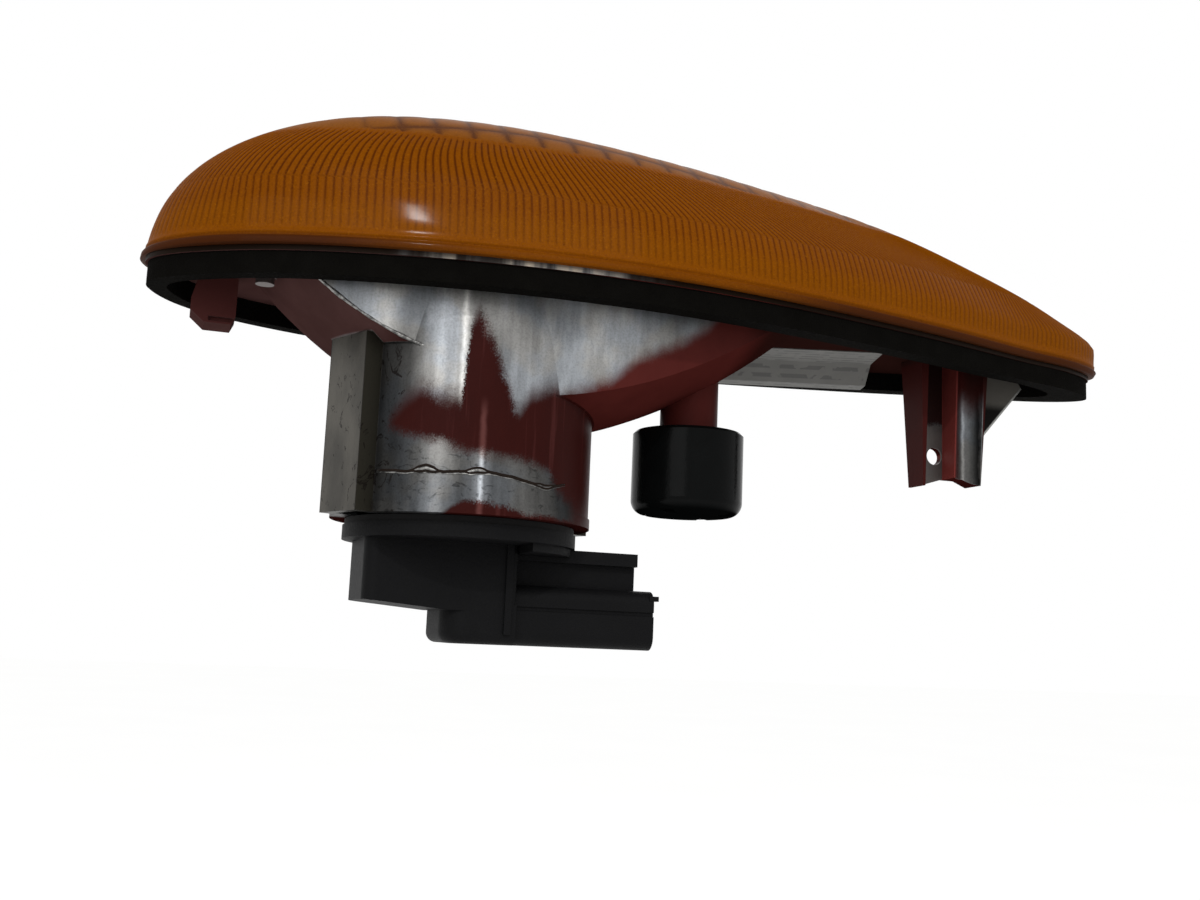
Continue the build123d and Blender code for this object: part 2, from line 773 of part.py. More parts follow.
pieces = {
    "lens": lens,
    "housing": housing,
    "gasket": gasket,
    "breather_cap": breather_cap,
    "label": label,
    "bulb_holder": bulb_holder,
    "holder_seal": holder_seal,
    "live_terminal": live_terminal,
    "earth_terminal": earth_terminal,
    "bulb_cap": bulb_cap,
    "bulb_pins": bulb_pins,
    "bulb_insulator": bulb_insulator,
    "bulb_contact": bulb_contact,
    "bulb_glass": bulb_glass,
    "bulb_stem": bulb_stem,
    "bulb_lead_wires": bulb_lead_wires,
    "bulb_filament": bulb_filament,
}
os.makedirs("parts", exist_ok=True)
for name, piece in pieces.items():
    piece.part.label = name
    export_step(piece.part, f"parts/{name}.step")
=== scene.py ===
import math

import bpy
import numpy as np
from mathutils import Matrix, Vector
from mathutils.geometry import delaunay_2d_cdt


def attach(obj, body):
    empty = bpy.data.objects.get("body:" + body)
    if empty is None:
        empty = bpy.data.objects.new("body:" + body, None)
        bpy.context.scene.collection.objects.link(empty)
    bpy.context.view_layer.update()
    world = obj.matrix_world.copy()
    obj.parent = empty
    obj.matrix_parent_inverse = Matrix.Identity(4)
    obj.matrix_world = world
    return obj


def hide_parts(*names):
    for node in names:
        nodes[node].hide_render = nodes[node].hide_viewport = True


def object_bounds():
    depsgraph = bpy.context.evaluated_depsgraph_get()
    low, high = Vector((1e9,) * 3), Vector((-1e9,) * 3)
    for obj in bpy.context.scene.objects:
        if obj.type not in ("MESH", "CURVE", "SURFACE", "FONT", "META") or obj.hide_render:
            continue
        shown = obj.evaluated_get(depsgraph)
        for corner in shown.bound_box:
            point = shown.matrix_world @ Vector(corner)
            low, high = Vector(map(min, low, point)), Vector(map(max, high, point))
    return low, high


# Looks of the side repeater lamp. Sizes are in millimetres, as in the CAD source, unless a name says metres.
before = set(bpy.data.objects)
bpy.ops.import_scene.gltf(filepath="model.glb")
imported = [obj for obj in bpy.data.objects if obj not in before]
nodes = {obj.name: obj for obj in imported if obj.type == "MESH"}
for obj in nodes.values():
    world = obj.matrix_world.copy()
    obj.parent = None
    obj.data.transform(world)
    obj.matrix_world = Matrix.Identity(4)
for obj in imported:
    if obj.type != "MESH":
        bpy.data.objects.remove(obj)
cad_low, cad_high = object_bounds()
metres = 0.001

# Camera, at the photograph's angle
camera_place = (-44.13, -199.29, -50.1)
camera_forward = (0.3171, 0.9368, 0.1478)
camera_right = (0.9472, -0.3206, 0.0)
camera_roll = 2.4
camera_lens = 37.65
camera_sensor = 36.0
camera_clip_metres = 0.005

# Lens, with the sizes of the CAD part
lens_length = 176.1
lens_half_width = 27.7
lens_height = 29.2
lens_foot = 4.2
lens_wall = 2.4
lens_nose = -51.8
lens_tail = lens_nose + lens_length
crest_reach = 9.0
nose_roundness = 2.25
tail_fall = 1.9
tail_roundness = 0.62
tail_heel = 28.0
tail_heel_fall = 6.0
top_fullness = 0.4
# Small differences from the CAD form, inside its box: a fuller tail end, a leaner tail above it and
# a leaner nose. The swell and the slack are a size, a middle rise and a width.
tail_swell = (2.1, 0.21, 0.085)
tail_limit = 0.68
tail_slack = (1.7, 0.56, 0.13)
nose_slack = 0.6
nose_slack_fall = 8.0
teardrop_shape = (
    (0.04, 0.426),
    (0.114, 0.697),
    (0.222, 0.897),
    (0.36, 1.0),
    (0.474, 0.975),
    (0.645, 0.776),
    (0.80, 0.516),
    (0.89, 0.347),
    (0.955, 0.231),
)

# Relief of the lens: flutes on the wall and shoulder, and pillows on the crest
flute_count = 316
flute_profile = (0.0, 0.72, 1.0, 0.72)
flute_depth = 0.13
wall_flute_start = (0.0, 0.16)
shoulder_flute_end = (0.93, 1.0)
kink_flute = 0.55
kink_half = 0.009
kink_rise = 0.365
kink_climb = 0.045
kink_climb_place = (40.0, 80.0)
kink_depth = 0.07
upright_start = 0.1
upright_end = 0.82
crest_rise = 0.69
cell_pitch = 5.4
cell_steps = 10
cell_depth = 0.1
cell_roundness = 0.8
cell_start = (-34.0, -14.0)
cell_fade = 1.6
crest_edge = 0.7
rim_profile = (
    (0.0, 0.36),
    (0.12, 0.5),
    (0.85, 0.5),
    (1.08, 0.36),
    (1.2, 0.02),
    (1.55, -0.05),
    (1.68, 0.13),
    (2.05, 0.13),
    (2.2, 0.0),
)
outline_count = 8000
wall_rows = 9
shoulder_rows = 15
inner_rows = 14
inner_spacing = 0.7
inner_top = 0.985
top_rise = 0.9999
halvings = 40
border_gap = 0.7
slope_reach = 0.05


def closed_spline(points, count):
    """Points along a closed cubic spline through the given ones, with chord-length knots."""
    total = len(points)
    following = np.roll(points, -1, axis=0)
    steps = np.linalg.norm(following - points, axis=1)
    slopes = (following - points) / steps[:, None]
    system = np.zeros((total, total))
    for i in range(total):
        system[i, i - 1] += steps[i - 1]
        system[i, i] += 2 * (steps[i - 1] + steps[i])
        system[i, (i + 1) % total] += steps[i]
    bends = np.linalg.solve(system, 6 * (slopes - np.roll(slopes, 1, axis=0)))
    knots = np.concatenate([[0], np.cumsum(steps)])
    places = np.linspace(0, knots[-1], count, endpoint=False)
    start = np.searchsorted(knots, places, side="right") - 1
    end = (start + 1) % total
    step = steps[start][:, None]
    before = (knots[start + 1] - places)[:, None] / step
    after = 1 - before
    line = before * points[start] + after * points[end]
    return line + ((before**3 - before) * bends[start] + (after**3 - after) * bends[end]) * step**2 / 6


def evenly(points, count):
    """A closed line's points, spread evenly along it."""
    closed = np.vstack([points, points[:1]])
    lengths = np.concatenate([[0], np.cumsum(np.linalg.norm(np.diff(closed, axis=0), axis=1))])
    places = np.linspace(0, lengths[-1], count, endpoint=False)
    return np.stack([np.interp(places, lengths, closed[:, axis]) for axis in (0, 1)], axis=1)


def swell(rise, size, middle, width):
    """A smooth rise and fall round a middle value."""
    return size * np.exp(-(((rise - middle) / width) ** 2))


def section(rise, inset):
    """Nose, tail, half width and fullness of a level section of the dome."""
    nose_span = crest_reach - lens_nose - inset
    tail_span = lens_tail - inset - crest_reach
    nose = crest_reach - nose_span * (1 - rise**nose_roundness) ** (1 / nose_roundness)
    tail = crest_reach + tail_span * (1 - rise**tail_fall) ** tail_roundness
    tail = tail + tail_heel * rise * (1 - rise) ** tail_heel_fall
    tail = tail + swell(rise, *tail_swell) - swell(rise, *tail_slack)
    tail = np.minimum(tail, lens_tail - inset + tail_limit)
    nose = nose + nose_slack * (1 - (1 - rise) ** nose_slack_fall) * (1 - rise)
    half_width = (lens_half_width - inset) * np.sqrt(1 - rise**2)
    return nose, tail, half_width, 1 - top_fullness * rise


def dome(along, across, rise, inset=0.0):
    """Points of the dome at shares along and across its sections, at a rise from 0 at the foot to 1."""
    nose, tail, half_width, fullness = section(rise, inset)
    x = nose + along * (tail - nose)
    y = np.sign(across) * half_width * np.abs(across) ** fullness
    z = lens_foot + rise * (lens_height - inset) + 0 * x
    return np.stack([x, y, z], axis=-1)


def smooth_step(value, low, high):
    """0 under low, 1 over high, and smooth between."""
    share = np.clip((value - low) / (high - low), 0, 1)
    return share * share * (3 - 2 * share)


def unit(vectors):
    """Vectors of length 1 in the same directions."""
    return vectors / np.linalg.norm(vectors, axis=-1, keepdims=True)


def new_piece(name, points, faces, body):
    """A mesh piece from points in millimetres, riding on a body."""
    mesh = bpy.data.meshes.new(name)
    mesh.from_pydata((np.asarray(points) * metres).tolist(), [], faces)
    mesh.shade_smooth()
    piece = bpy.data.objects.new(name, mesh)
    bpy.context.scene.collection.objects.link(piece)
    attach(piece, body)
    return piece


def store(piece, name, values):
    """Keeps a number or a vector for each point of a piece, for its material."""
    kind, field = ("FLOAT_VECTOR", "vector") if values.ndim == 2 else ("FLOAT", "value")
    attribute = piece.data.attributes.new(name, kind, "POINT")
    attribute.data.foreach_set(field, values.astype(np.float32).ravel())


# Lens: one closed mesh of a fluted outside, a pillowed crest, a foot ring and a plain inside
samples = len(flute_profile)
columns = flute_count * samples
half_outline = [(u * lens_length + lens_nose, v * lens_half_width) for u, v in teardrop_shape]
other_half = [(x, -y) for x, y in reversed(half_outline)]
outline_points = [(lens_nose, 0), *half_outline, (lens_tail, 0), *other_half]
fine_outline = closed_spline(np.array(outline_points), outline_count)
foot_line = evenly(fine_outline, columns)
along = (foot_line[:, 0] - lens_nose) / lens_length
across = foot_line[:, 1] / lens_half_width
kink = kink_rise + kink_climb * smooth_step(foot_line[:, 0], *kink_climb_place)
rim_top = rim_profile[-1][0] / lens_height

# Each row has a rise, an offset outward, a share of the flutes and a share of the kink
lens_rows = []
for height, offset in rim_profile:
    lens_rows.append((np.full(columns, height / lens_height), offset, 0.0, 0.0))
for share in np.linspace(0, 1, wall_rows + 1)[1:]:
    row_rise = rim_top + share * (kink - kink_half - rim_top)
    lens_rows.append((row_rise, 0.0, smooth_step(share, *wall_flute_start), 0.0))
lens_rows.append((kink, 0.0, kink_flute, 1.0))
for share in np.linspace(0, 1, shoulder_rows):
    row_rise = kink + kink_half + share * (crest_rise - kink - kink_half)
    lens_rows.append((row_rise, 0.0, 1 - smooth_step(share, *shoulder_flute_end), 0.0))
rows = len(lens_rows)
rises = np.array([row[0] for row in lens_rows])
outward, flute_share, kink_share = (np.array([row[i] for row in lens_rows])[:, None] for i in (1, 2, 3))

# The wall's flutes stand upright up to the kink, and those of the shoulder lean with the dome
order = np.argsort(along[: columns // 2 + 1])
along_table, across_table = along[order], np.abs(across[order])
nose_reach, tail_reach, _, _ = section(np.minimum(rises, kink), 0.0)
upright = np.clip((foot_line[:, 0] - nose_reach) / (tail_reach - nose_reach), 0, 1)
upright_share = smooth_step(along, 0, upright_start) * (1 - smooth_step(along, upright_end, 1))
row_along = along + upright_share * (upright - along)
row_across = np.sign(across) * np.interp(row_along, along_table, across_table)
wall = dome(row_along, row_across, rises)
around = np.roll(wall, -1, axis=1) - np.roll(wall, 1, axis=1)
level_out = unit(np.stack([-around[..., 1], around[..., 0], 0 * around[..., 0]], axis=-1))
wall = wall + level_out * outward[..., None]
upward = np.gradient(wall, axis=0)
wall_normal = unit(np.cross(upward, around))
flute = np.tile(np.array(flute_profile), flute_count)[None, :] * flute_share
relief = flute_depth * (flute - flute_share) - kink_depth * kink_share
wall_points = wall + wall_normal * relief[..., None]
wall_points[..., 0] = np.minimum(wall_points[..., 0], cad_high[0] / metres)


def rise_at(x, y):
    """The dome's rise above a point of its plan."""
    low, high = np.zeros_like(x), np.full_like(x, top_rise)
    for _ in range(halvings):
        middle = (low + high) / 2
        nose, tail, half_width, fullness = section(middle, 0.0)
        share = np.interp((x - nose) / (tail - nose), along_table, across_table, left=0, right=0)
        inside = np.abs(y) < half_width * share**fullness
        low, high = np.where(inside, middle, low), np.where(inside, high, middle)
    return low


# The crest is a plan grid inside the last row of flutes, on the same dome
crest_line = wall_points[-1]
grid_step = cell_pitch / cell_steps
grid_x = np.arange(crest_line[:, 0].min(), crest_line[:, 0].max(), grid_step)
grid_x = np.round(grid_x / grid_step) * grid_step
grid_reach = math.ceil(lens_half_width / grid_step)
grid_y = np.arange(-grid_reach, grid_reach + 1) * grid_step
plan_x, plan_y = (axis.ravel() for axis in np.meshgrid(grid_x, grid_y))
plan_rise = rise_at(plan_x, plan_y)
border_line = crest_line[None, ::samples]
border_away = np.hypot(plan_x[:, None] - border_line[..., 0], plan_y[:, None] - border_line[..., 1])
border = np.min(border_away, axis=1)
kept = (plan_rise > crest_rise) & (border > border_gap * grid_step)
plan_x, plan_y, plan_rise, border = plan_x[kept], plan_y[kept], plan_rise[kept], border[kept]


def pillow(place):
    """Rounded humps of one cell pitch that meet in a crease."""
    share = place / cell_pitch - np.floor(place / cell_pitch)
    return (1 - (2 * share - 1) ** 2) ** cell_roundness


cell = pillow(plan_x) * pillow(plan_y)
cell = 1 - (1 - cell) * smooth_step(plan_x, *cell_start)
cell_relief = cell_depth * (cell - 1) * smooth_step(border, 0, cell_fade)
crest_z = np.minimum(lens_foot + plan_rise * lens_height + cell_relief, cad_high[2] / metres)
crest_points = np.stack([plan_x, plan_y, crest_z], axis=1)
climb_x = rise_at(plan_x + slope_reach, plan_y) - rise_at(plan_x - slope_reach, plan_y)
climb_y = rise_at(plan_x, plan_y + slope_reach) - rise_at(plan_x, plan_y - slope_reach)
slope_x, slope_y = (climb * lens_height / (2 * slope_reach) for climb in (climb_x, climb_y))
crest_normal = unit(np.stack([-slope_x, -slope_y, np.ones_like(slope_x)], axis=1))

flat_points = [Vector(p[:2]) for p in crest_line] + [Vector(p[:2]) for p in crest_points]
crest_mesh = delaunay_2d_cdt(flat_points, [], [list(range(columns))], 1, 1e-6)
crest_ids = [origin[0] for origin in crest_mesh[3]]
crest_start = rows * columns - columns

faces = []
for row in range(rows - 1):
    first = row * columns
    for column in range(columns):
        beside = (column + 1) % columns
        over = first + columns
        faces.append((first + column, over + column, over + beside, first + beside))
for face in crest_mesh[2]:
    corners = [crest_ids[i] for i in face]
    spread = [flat_points[i] for i in corners]
    turn = (spread[1] - spread[0]).cross(spread[2] - spread[0])
    corners = corners if turn > 0 else corners[::-1]
    faces.append(tuple(crest_start + i for i in corners))

inner_columns = slice(0, columns, samples)
inner_rises = np.linspace(0, 1, inner_rows) ** inner_spacing * inner_top
inner = dome(along[None, inner_columns], across[None, inner_columns], inner_rises[:, None], lens_wall)
inner_start = rows * columns + len(crest_points)
for row in range(inner_rows - 1):
    first = inner_start + row * flute_count
    for column in range(flute_count):
        beside = (column + 1) % flute_count
        over = first + flute_count
        faces.append((first + column, first + beside, over + beside, over + column))
apex = inner_start + inner_rows * flute_count
last = apex - flute_count
for column in range(flute_count):
    beside = (column + 1) % flute_count
    faces.append((last + column, last + beside, apex))
    outer = [(column * samples + i) % columns for i in range(samples + 1)]
    for i in range(samples):
        faces.append((outer[i], outer[i + 1], inner_start + column))
    faces.append((inner_start + column, outer[samples], inner_start + beside))

apex_point = inner[-1].mean(axis=0, keepdims=True)
lens_points = np.vstack([wall_points.reshape(-1, 3), crest_points, inner.reshape(-1, 3), apex_point])
lens_piece = new_piece("lens_fluted", lens_points, faces, "lamp")
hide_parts("lens")
inner_total = len(lens_points) - inner_start
flute_light = (1 - flute_share + flute).ravel()
store(lens_piece, "flute", np.concatenate([flute_light, cell, np.ones(inner_total)]))
crest_share = smooth_step(border, 0, crest_edge)
crest_share = np.concatenate([np.zeros(rows * columns), crest_share, np.zeros(inner_total)])
store(lens_piece, "crest", crest_share)
kink_line = np.broadcast_to(kink_share, (rows, columns)).ravel()
store(lens_piece, "kink", np.concatenate([kink_line, np.zeros(len(crest_points) + inner_total)]))
inner_normal = np.tile([[0.0, 0.0, -1.0]], (inner_total, 1))
store(lens_piece, "smooth_normal", np.vstack([wall_normal.reshape(-1, 3), crest_normal, inner_normal]))


def tint(red, green, blue):
    """A colour as it is on screen, from 0 to 255, as the shader takes it."""
    shares = (channel / 255 for channel in (red, green, blue))
    return (*(s / 12.92 if s <= 0.04045 else ((s + 0.055) / 1.055) ** 2.4 for s in shares), 1.0)


class Finish:
    """A material with one Principled shader, and short calls for the nodes that the finishes share."""

    def __init__(self, name, **constants):
        self.material = bpy.data.materials.new(name)
        self.material.use_nodes = True
        self.tree = self.material.node_tree
        self.shader = self.tree.nodes["Principled BSDF"]
        for socket, value in constants.items():
            self.shader.inputs[socket.replace("_", " ")].default_value = value
        coordinates = self.node("ShaderNodeTexCoord")
        scaled = self.node("ShaderNodeVectorMath", operation="SCALE")
        self.join(coordinates.outputs["Object"], scaled.inputs[0])
        scaled.inputs["Scale"].default_value = 1 / metres
        self.place = scaled.outputs[0]
        self.x, self.y, self.z = self.parts(self.place)
        self.normal_x, self.normal_y, self.normal_z = self.parts(coordinates.outputs["Normal"])

    def node(self, kind, **settings):
        """A new node with its settings."""
        made = self.tree.nodes.new(kind)
        for name, value in settings.items():
            setattr(made, name, value)
        return made

    def join(self, value, socket):
        """Sets a socket to a number or colour, or links another socket to it."""
        if isinstance(value, bpy.types.NodeSocket):
            self.tree.links.new(value, socket)
        else:
            socket.default_value = value

    def give(self, **values):
        """Links sockets to the shader's inputs."""
        for name, value in values.items():
            self.join(value, self.shader.inputs[name.replace("_", " ")])

    def parts(self, vector):
        """The three coordinates of a vector."""
        split = self.node("ShaderNodeSeparateXYZ")
        self.join(vector, split.inputs[0])
        return split.outputs[0], split.outputs[1], split.outputs[2]

    def sum(self, operation, first, second=0.0, third=0.0):
        """One step of arithmetic."""
        made = self.node("ShaderNodeMath", operation=operation)
        for value, socket in zip((first, second, third), made.inputs):
            self.join(value, socket)
        return made.outputs[0]

    def times(self, *values):
        """The product of the values."""
        product = values[0]
        for value in values[1:]:
            product = self.sum("MULTIPLY", product, value)
        return product

    def most(self, *values):
        """The largest of the values."""
        largest = values[0]
        for value in values[1:]:
            largest = self.sum("MAXIMUM", largest, value)
        return largest

    def without(self, value):
        """1 less a share."""
        return self.sum("SUBTRACT", 1.0, value)

    def above(self, value, low, high):
        """0 under low, 1 over high, and smooth between."""
        made = self.node("ShaderNodeMapRange", interpolation_type="SMOOTHSTEP")
        for number, name in ((value, "Value"), (low, "From Min"), (high, "From Max")):
            self.join(number, made.inputs[name])
        return made.outputs[0]

    def below(self, value, low, high):
        """1 under low, 0 over high, and smooth between."""
        return self.without(self.above(value, low, high))

    def spread(self, value, low, high):
        """A share from 0 to 1, spread between two numbers."""
        return self.sum("MULTIPLY_ADD", value, high - low, low)

    def near(self, value, middle, half, soft):
        """1 within a half width of a middle value, and 0 beyond a soft edge."""
        away = self.sum("ABSOLUTE", self.sum("SUBTRACT", value, middle))
        return self.below(away, half - soft, half + soft)

    def length(self, first, second):
        """The length of a line with two sides at right angles."""
        squares = self.sum("ADD", self.times(first, first), self.times(second, second))
        return self.sum("SQRT", squares)

    def toward(self, first, second, angle):
        """A flat place or direction, measured along a line at an angle."""
        part = self.times(second, math.sin(angle))
        return self.sum("MULTIPLY_ADD", first, math.cos(angle), part)

    def noise(self, scale, detail=3.0, stretch=(1, 1, 1), roughness=0.55, warp=0.0):
        """Cloudy noise, with its scale in cells for each millimetre."""
        shaped = self.node("ShaderNodeVectorMath", operation="MULTIPLY")
        self.join(self.place, shaped.inputs[0])
        shaped.inputs[1].default_value = stretch
        made = self.node("ShaderNodeTexNoise")
        self.join(shaped.outputs[0], made.inputs["Vector"])
        settings = {"Scale": scale, "Detail": detail, "Roughness": roughness, "Distortion": warp}
        for name, value in settings.items():
            made.inputs[name].default_value = value
        return made.outputs["Fac"]

    def dots(self, scale):
        """Distance from scattered points, with their scale for each millimetre."""
        made = self.node("ShaderNodeTexVoronoi")
        self.join(self.place, made.inputs["Vector"])
        made.inputs["Scale"].default_value = scale
        return made.outputs["Distance"]

    def curve(self, value, points):
        """A curve through (value, result) points."""
        low, high = points[0][0], points[-1][0]
        bottom = min(result for _, result in points)
        top = max(result for _, result in points)
        made = self.node("ShaderNodeValToRGB")
        elements = made.color_ramp.elements
        while len(elements) < len(points):
            elements.new(0.5)
        for element, (place, result) in zip(elements, points):
            element.position = (place - low) / (high - low)
            share = (result - bottom) / (top - bottom)
            element.color = (share, share, share, 1)
        scaled = self.node("ShaderNodeMapRange")
        for number, name in ((value, "Value"), (low, "From Min"), (high, "From Max")):
            self.join(number, scaled.inputs[name])
        self.join(scaled.outputs[0], made.inputs["Fac"])
        return self.spread(made.outputs["Color"], bottom, top)

    def mix(self, share, first, second):
        """A colour between two, by a share of the second."""
        made = self.node("ShaderNodeMix", data_type="RGBA")
        self.join(share, made.inputs[0])
        self.join(first, made.inputs[6])
        self.join(second, made.inputs[7])
        return made.outputs[2]

    def kept(self, name, vector=False):
        """A value that a piece's mesh keeps for each point."""
        made = self.node("ShaderNodeAttribute", attribute_name=name)
        return made.outputs["Vector" if vector else "Fac"]

    def turned(self, share, direction):
        """The mesh's normal, turned by a share toward another direction."""
        mixed = self.node("ShaderNodeMix", data_type="VECTOR")
        self.join(share, mixed.inputs[0])
        self.join(self.node("ShaderNodeNewGeometry").outputs["Normal"], mixed.inputs[4])
        self.join(direction, mixed.inputs[5])
        whole = self.node("ShaderNodeVectorMath", operation="NORMALIZE")
        self.join(mixed.outputs[1], whole.inputs[0])
        return whole.outputs[0]

    def bump(self, height, depth, normal=None):
        """Fine relief on the shader's normal, with its depth in millimetres."""
        made = self.node("ShaderNodeBump")
        if normal:
            self.join(normal, made.inputs["Normal"])
        made.inputs["Distance"].default_value = depth * metres
        self.join(height, made.inputs["Height"])
        self.join(made.outputs[0], self.shader.inputs["Normal"])

    def on(self, *objects):
        """Gives the material to objects."""
        for thing in objects:
            thing.data.materials.clear()
            thing.data.materials.append(self.material)


# Amber lens: flutes seen through a smooth glossy skin
amber = Finish("amber_plastic", Coat_Roughness=0.1, Specular_IOR_Level=0.01)
amber_flute = amber.above(amber.kept("flute"), 0.05, 0.8)
amber_crest = amber.kept("crest")
amber_cloud = amber.noise(0.035, 4.0)
amber_grain = amber.noise(3.4, 2.0, roughness=0.7)
shoulder = amber.above(amber.z, 13.5, 16.5)
amber_deep = amber.mix(amber_cloud, tint(74, 31, 0), tint(88, 39, 0))
wall_deep = amber.mix(amber_cloud, tint(88, 40, 0), tint(100, 48, 0))
amber_deep = amber.mix(shoulder, wall_deep, amber_deep)
amber_light = amber.mix(amber_cloud, tint(117, 60, 0), tint(131, 70, 0))
amber_body = amber.mix(amber_flute, amber_deep, amber_light)
# A lighter band low on the lens wall is a painted reflection.
lower_reflection_band = amber.near(amber.z, 8.6, 2.2, 1.6)
amber_body = amber.mix(amber.times(lower_reflection_band, 0.3), amber_body, tint(138, 78, 0))
amber_body = amber.mix(amber.times(amber.kept("kink"), 0.25), amber_body, tint(84, 38, 0))
crest_cell = amber.above(amber.kept("flute"), -0.1, 0.8)
crest_colour = amber.mix(crest_cell, tint(78, 38, 2), tint(126, 72, 8))
amber_body = amber.mix(amber.times(amber_crest, 0.95), amber_body, crest_colour)
light_grain = amber.times(amber.above(amber_grain, 0.55, 0.74), 0.34)
dark_grain = amber.times(amber.above(amber_grain, 0.45, 0.28), 0.4)
amber_body = amber.mix(light_grain, amber_body, tint(166, 102, 6))
amber_body = amber.mix(dark_grain, amber_body, tint(70, 30, 0))
rim_ends = amber.spread(amber.near(amber.x, 16.0, 30.0, 16.0), 0.9, 0.2)
rim_band = amber.times(amber.below(amber.z, 5.2, 5.9), rim_ends)
amber_body = amber.mix(rim_band, amber_body, tint(56, 25, 10))
amber.give(Base_Color=amber_body)
amber.give(Roughness=amber.spread(amber_cloud, 0.38, 0.5))
amber.give(Coat_Weight=amber.spread(amber.above(amber.z, 15.0, 22.0), 0.036, 0.003))
amber.join(amber.kept("smooth_normal", vector=True), amber.shader.inputs["Coat Normal"])
amber.on(lens_piece)

# Housing: red moulding with a metallic overspray on its walls, tube, keels and fin
tube_radius = 20.6
on_tube_edge = (20.9, 21.0)
keel_turn = math.radians(24.0)
near_side_edge = (-2.0, 2.0)
under_edge = (-0.35, -0.1)
flange_back = (3.0, 3.3)
tower_top = (2.8, 3.1)
fin_root_x = 97.3
fin_corner = (95.45, -14.0)
fin_fall = (0.7525, 0.659)
groove_axis = (93.55, -5.4)
groove_edge = (2.8, 2.95)
paint = Finish("red_moulding_with_silver_spray")
edge_noise = paint.sum("SUBTRACT", paint.noise(0.45, 5.0), 0.5)
speckle = paint.sum("SUBTRACT", paint.noise(4.0, 3.0, roughness=0.75), 0.5)


def ragged(value, waviness, roughness=2.2):
    """A coordinate with wavy and speckled noise, for the ragged edges of the spray."""
    wavy = paint.sum("MULTIPLY_ADD", edge_noise, waviness, value)
    return paint.sum("MULTIPLY_ADD", speckle, roughness, wavy)


ragged_z = ragged(paint.z, 2.2)
ragged_x = ragged(paint.x, 1.2)
radius = paint.length(paint.x, paint.y)
on_tube = paint.below(radius, *on_tube_edge)
near_side = paint.below(paint.y, *near_side_edge)
not_under = paint.above(paint.normal_z, *under_edge)

red_top = paint.curve(
    ragged_x,
    (
        (-20.6, -24.0),
        (-15.4, -22.5),
        (-14.7, -19.4),
        (-13.0, -16.4),
        (-10.9, -14.5),
        (-8.5, -15.5),
        (-5.2, -16.2),
        (-4.6, -7.0),
        (-4.2, -4.2),
        (-3.3, -2.3),
        (-2.5, -4.5),
        (-0.9, -7.6),
        (1.1, -12.5),
        (2.8, -16.7),
        (3.7, -16.9),
        (5.1, -14.6),
        (7.7, -13.0),
        (20.6, -9.0),
    ),
)
red_foot = paint.curve(
    ragged_x,
    (
        (-20.6, -18.0),
        (-15.2, -19.5),
        (-14.6, -20.9),
        (-11.5, -21.8),
        (-8.1, -22.7),
        (-4.0, -24.0),
        (-1.5, -24.2),
        (3.8, -24.6),
        (8.9, -25.6),
        (10.8, -28.5),
        (14.7, -30.5),
        (20.6, -34.0),
    ),
)
red_patch = paint.times(
    paint.above(paint.sum("SUBTRACT", ragged_z, red_foot), -1.1, 1.3),
    paint.below(paint.sum("SUBTRACT", ragged_z, red_top), -2.0, 2.6),
)
mouth_level = paint.curve(
    ragged_x,
    (
        (-20.6, -34.5),
        (-8.0, -34.0),
        (-5.6, -31.8),
        (-4.0, -31.0),
        (1.0, -31.1),
        (3.5, -32.3),
        (20.6, -33.0),
    ),
)
over_mouth = paint.above(paint.sum("SUBTRACT", ragged_z, mouth_level), -0.5, 0.5)
tube_silver = paint.times(on_tube, paint.without(red_patch), near_side, over_mouth)
tube_silver = paint.times(tube_silver, paint.below(paint.x, 12.5, 15.5))

wall_facing = paint.above(paint.sum("ABSOLUTE", paint.normal_y), 0.5, 0.7)
wall_height = paint.below(paint.z, *flange_back)
tail_red_top = paint.curve(
    ragged_x,
    (
        (-60.0, -30.0),
        (3.0, -24.0),
        (5.0, -15.2),
        (12.6, -13.0),
        (19.0, -10.0),
        (23.0, -6.5),
        (30.6, -3.0),
        (35.5, 0.5),
        (40.0, 6.0),
        (60.0, 8.0),
    ),
)
keel_reach = paint.sum("ABSOLUTE", paint.toward(paint.x, paint.y, keel_turn))
keel_across = paint.sum("ABSOLUTE", paint.toward(paint.y, paint.x, -keel_turn))
keel_silver = paint.times(
    paint.above(keel_reach, 18.5, 18.7),
    paint.above(radius, 20.63, 20.67),
    paint.below(keel_across, 5.3, 5.5),
    paint.below(paint.z, -6.1, -5.7),
)
keel_front = paint.sum("ABSOLUTE", paint.toward(paint.normal_x, paint.normal_y, keel_turn))
keel_front = paint.above(keel_front, 0.6, 0.8)
wall_silver = paint.times(
    paint.without(keel_silver),
    near_side,
    wall_facing,
    wall_height,
    paint.without(on_tube),
    paint.above(paint.sum("SUBTRACT", ragged_z, tail_red_top), -1.6, 1.8),
    paint.below(paint.x, 44.0, 50.0),
    paint.above(paint.x, -33.5, -32.5),
)

fin_place = paint.times(
    paint.above(paint.x, fin_root_x, fin_root_x + 0.3),
    paint.below(paint.sum("ABSOLUTE", paint.y), 0.95, 1.1),
    paint.below(paint.z, *tower_top),
)
fin_slope = paint.sum(
    "SUBTRACT",
    paint.times(paint.sum("SUBTRACT", paint.x, fin_corner[0]), fin_fall[0]),
    paint.times(paint.sum("SUBTRACT", paint.z, fin_corner[1]), fin_fall[1]),
)
fin_edge_highlight = paint.times(fin_place, paint.below(paint.sum("ABSOLUTE", fin_slope), 0.25, 0.5))
groove_x = paint.sum("SUBTRACT", paint.x, groove_axis[0])
groove_y = paint.sum("SUBTRACT", paint.y, groove_axis[1])
in_groove = paint.below(paint.length(groove_x, groove_y), *groove_edge)
groove_silver = paint.times(in_groove, paint.below(ragged_z, -8.0, -1.0))
groove_silver = paint.times(groove_silver, paint.spread(paint.above(ragged_x, 91.6, 93.4), 0.25, 1.0))
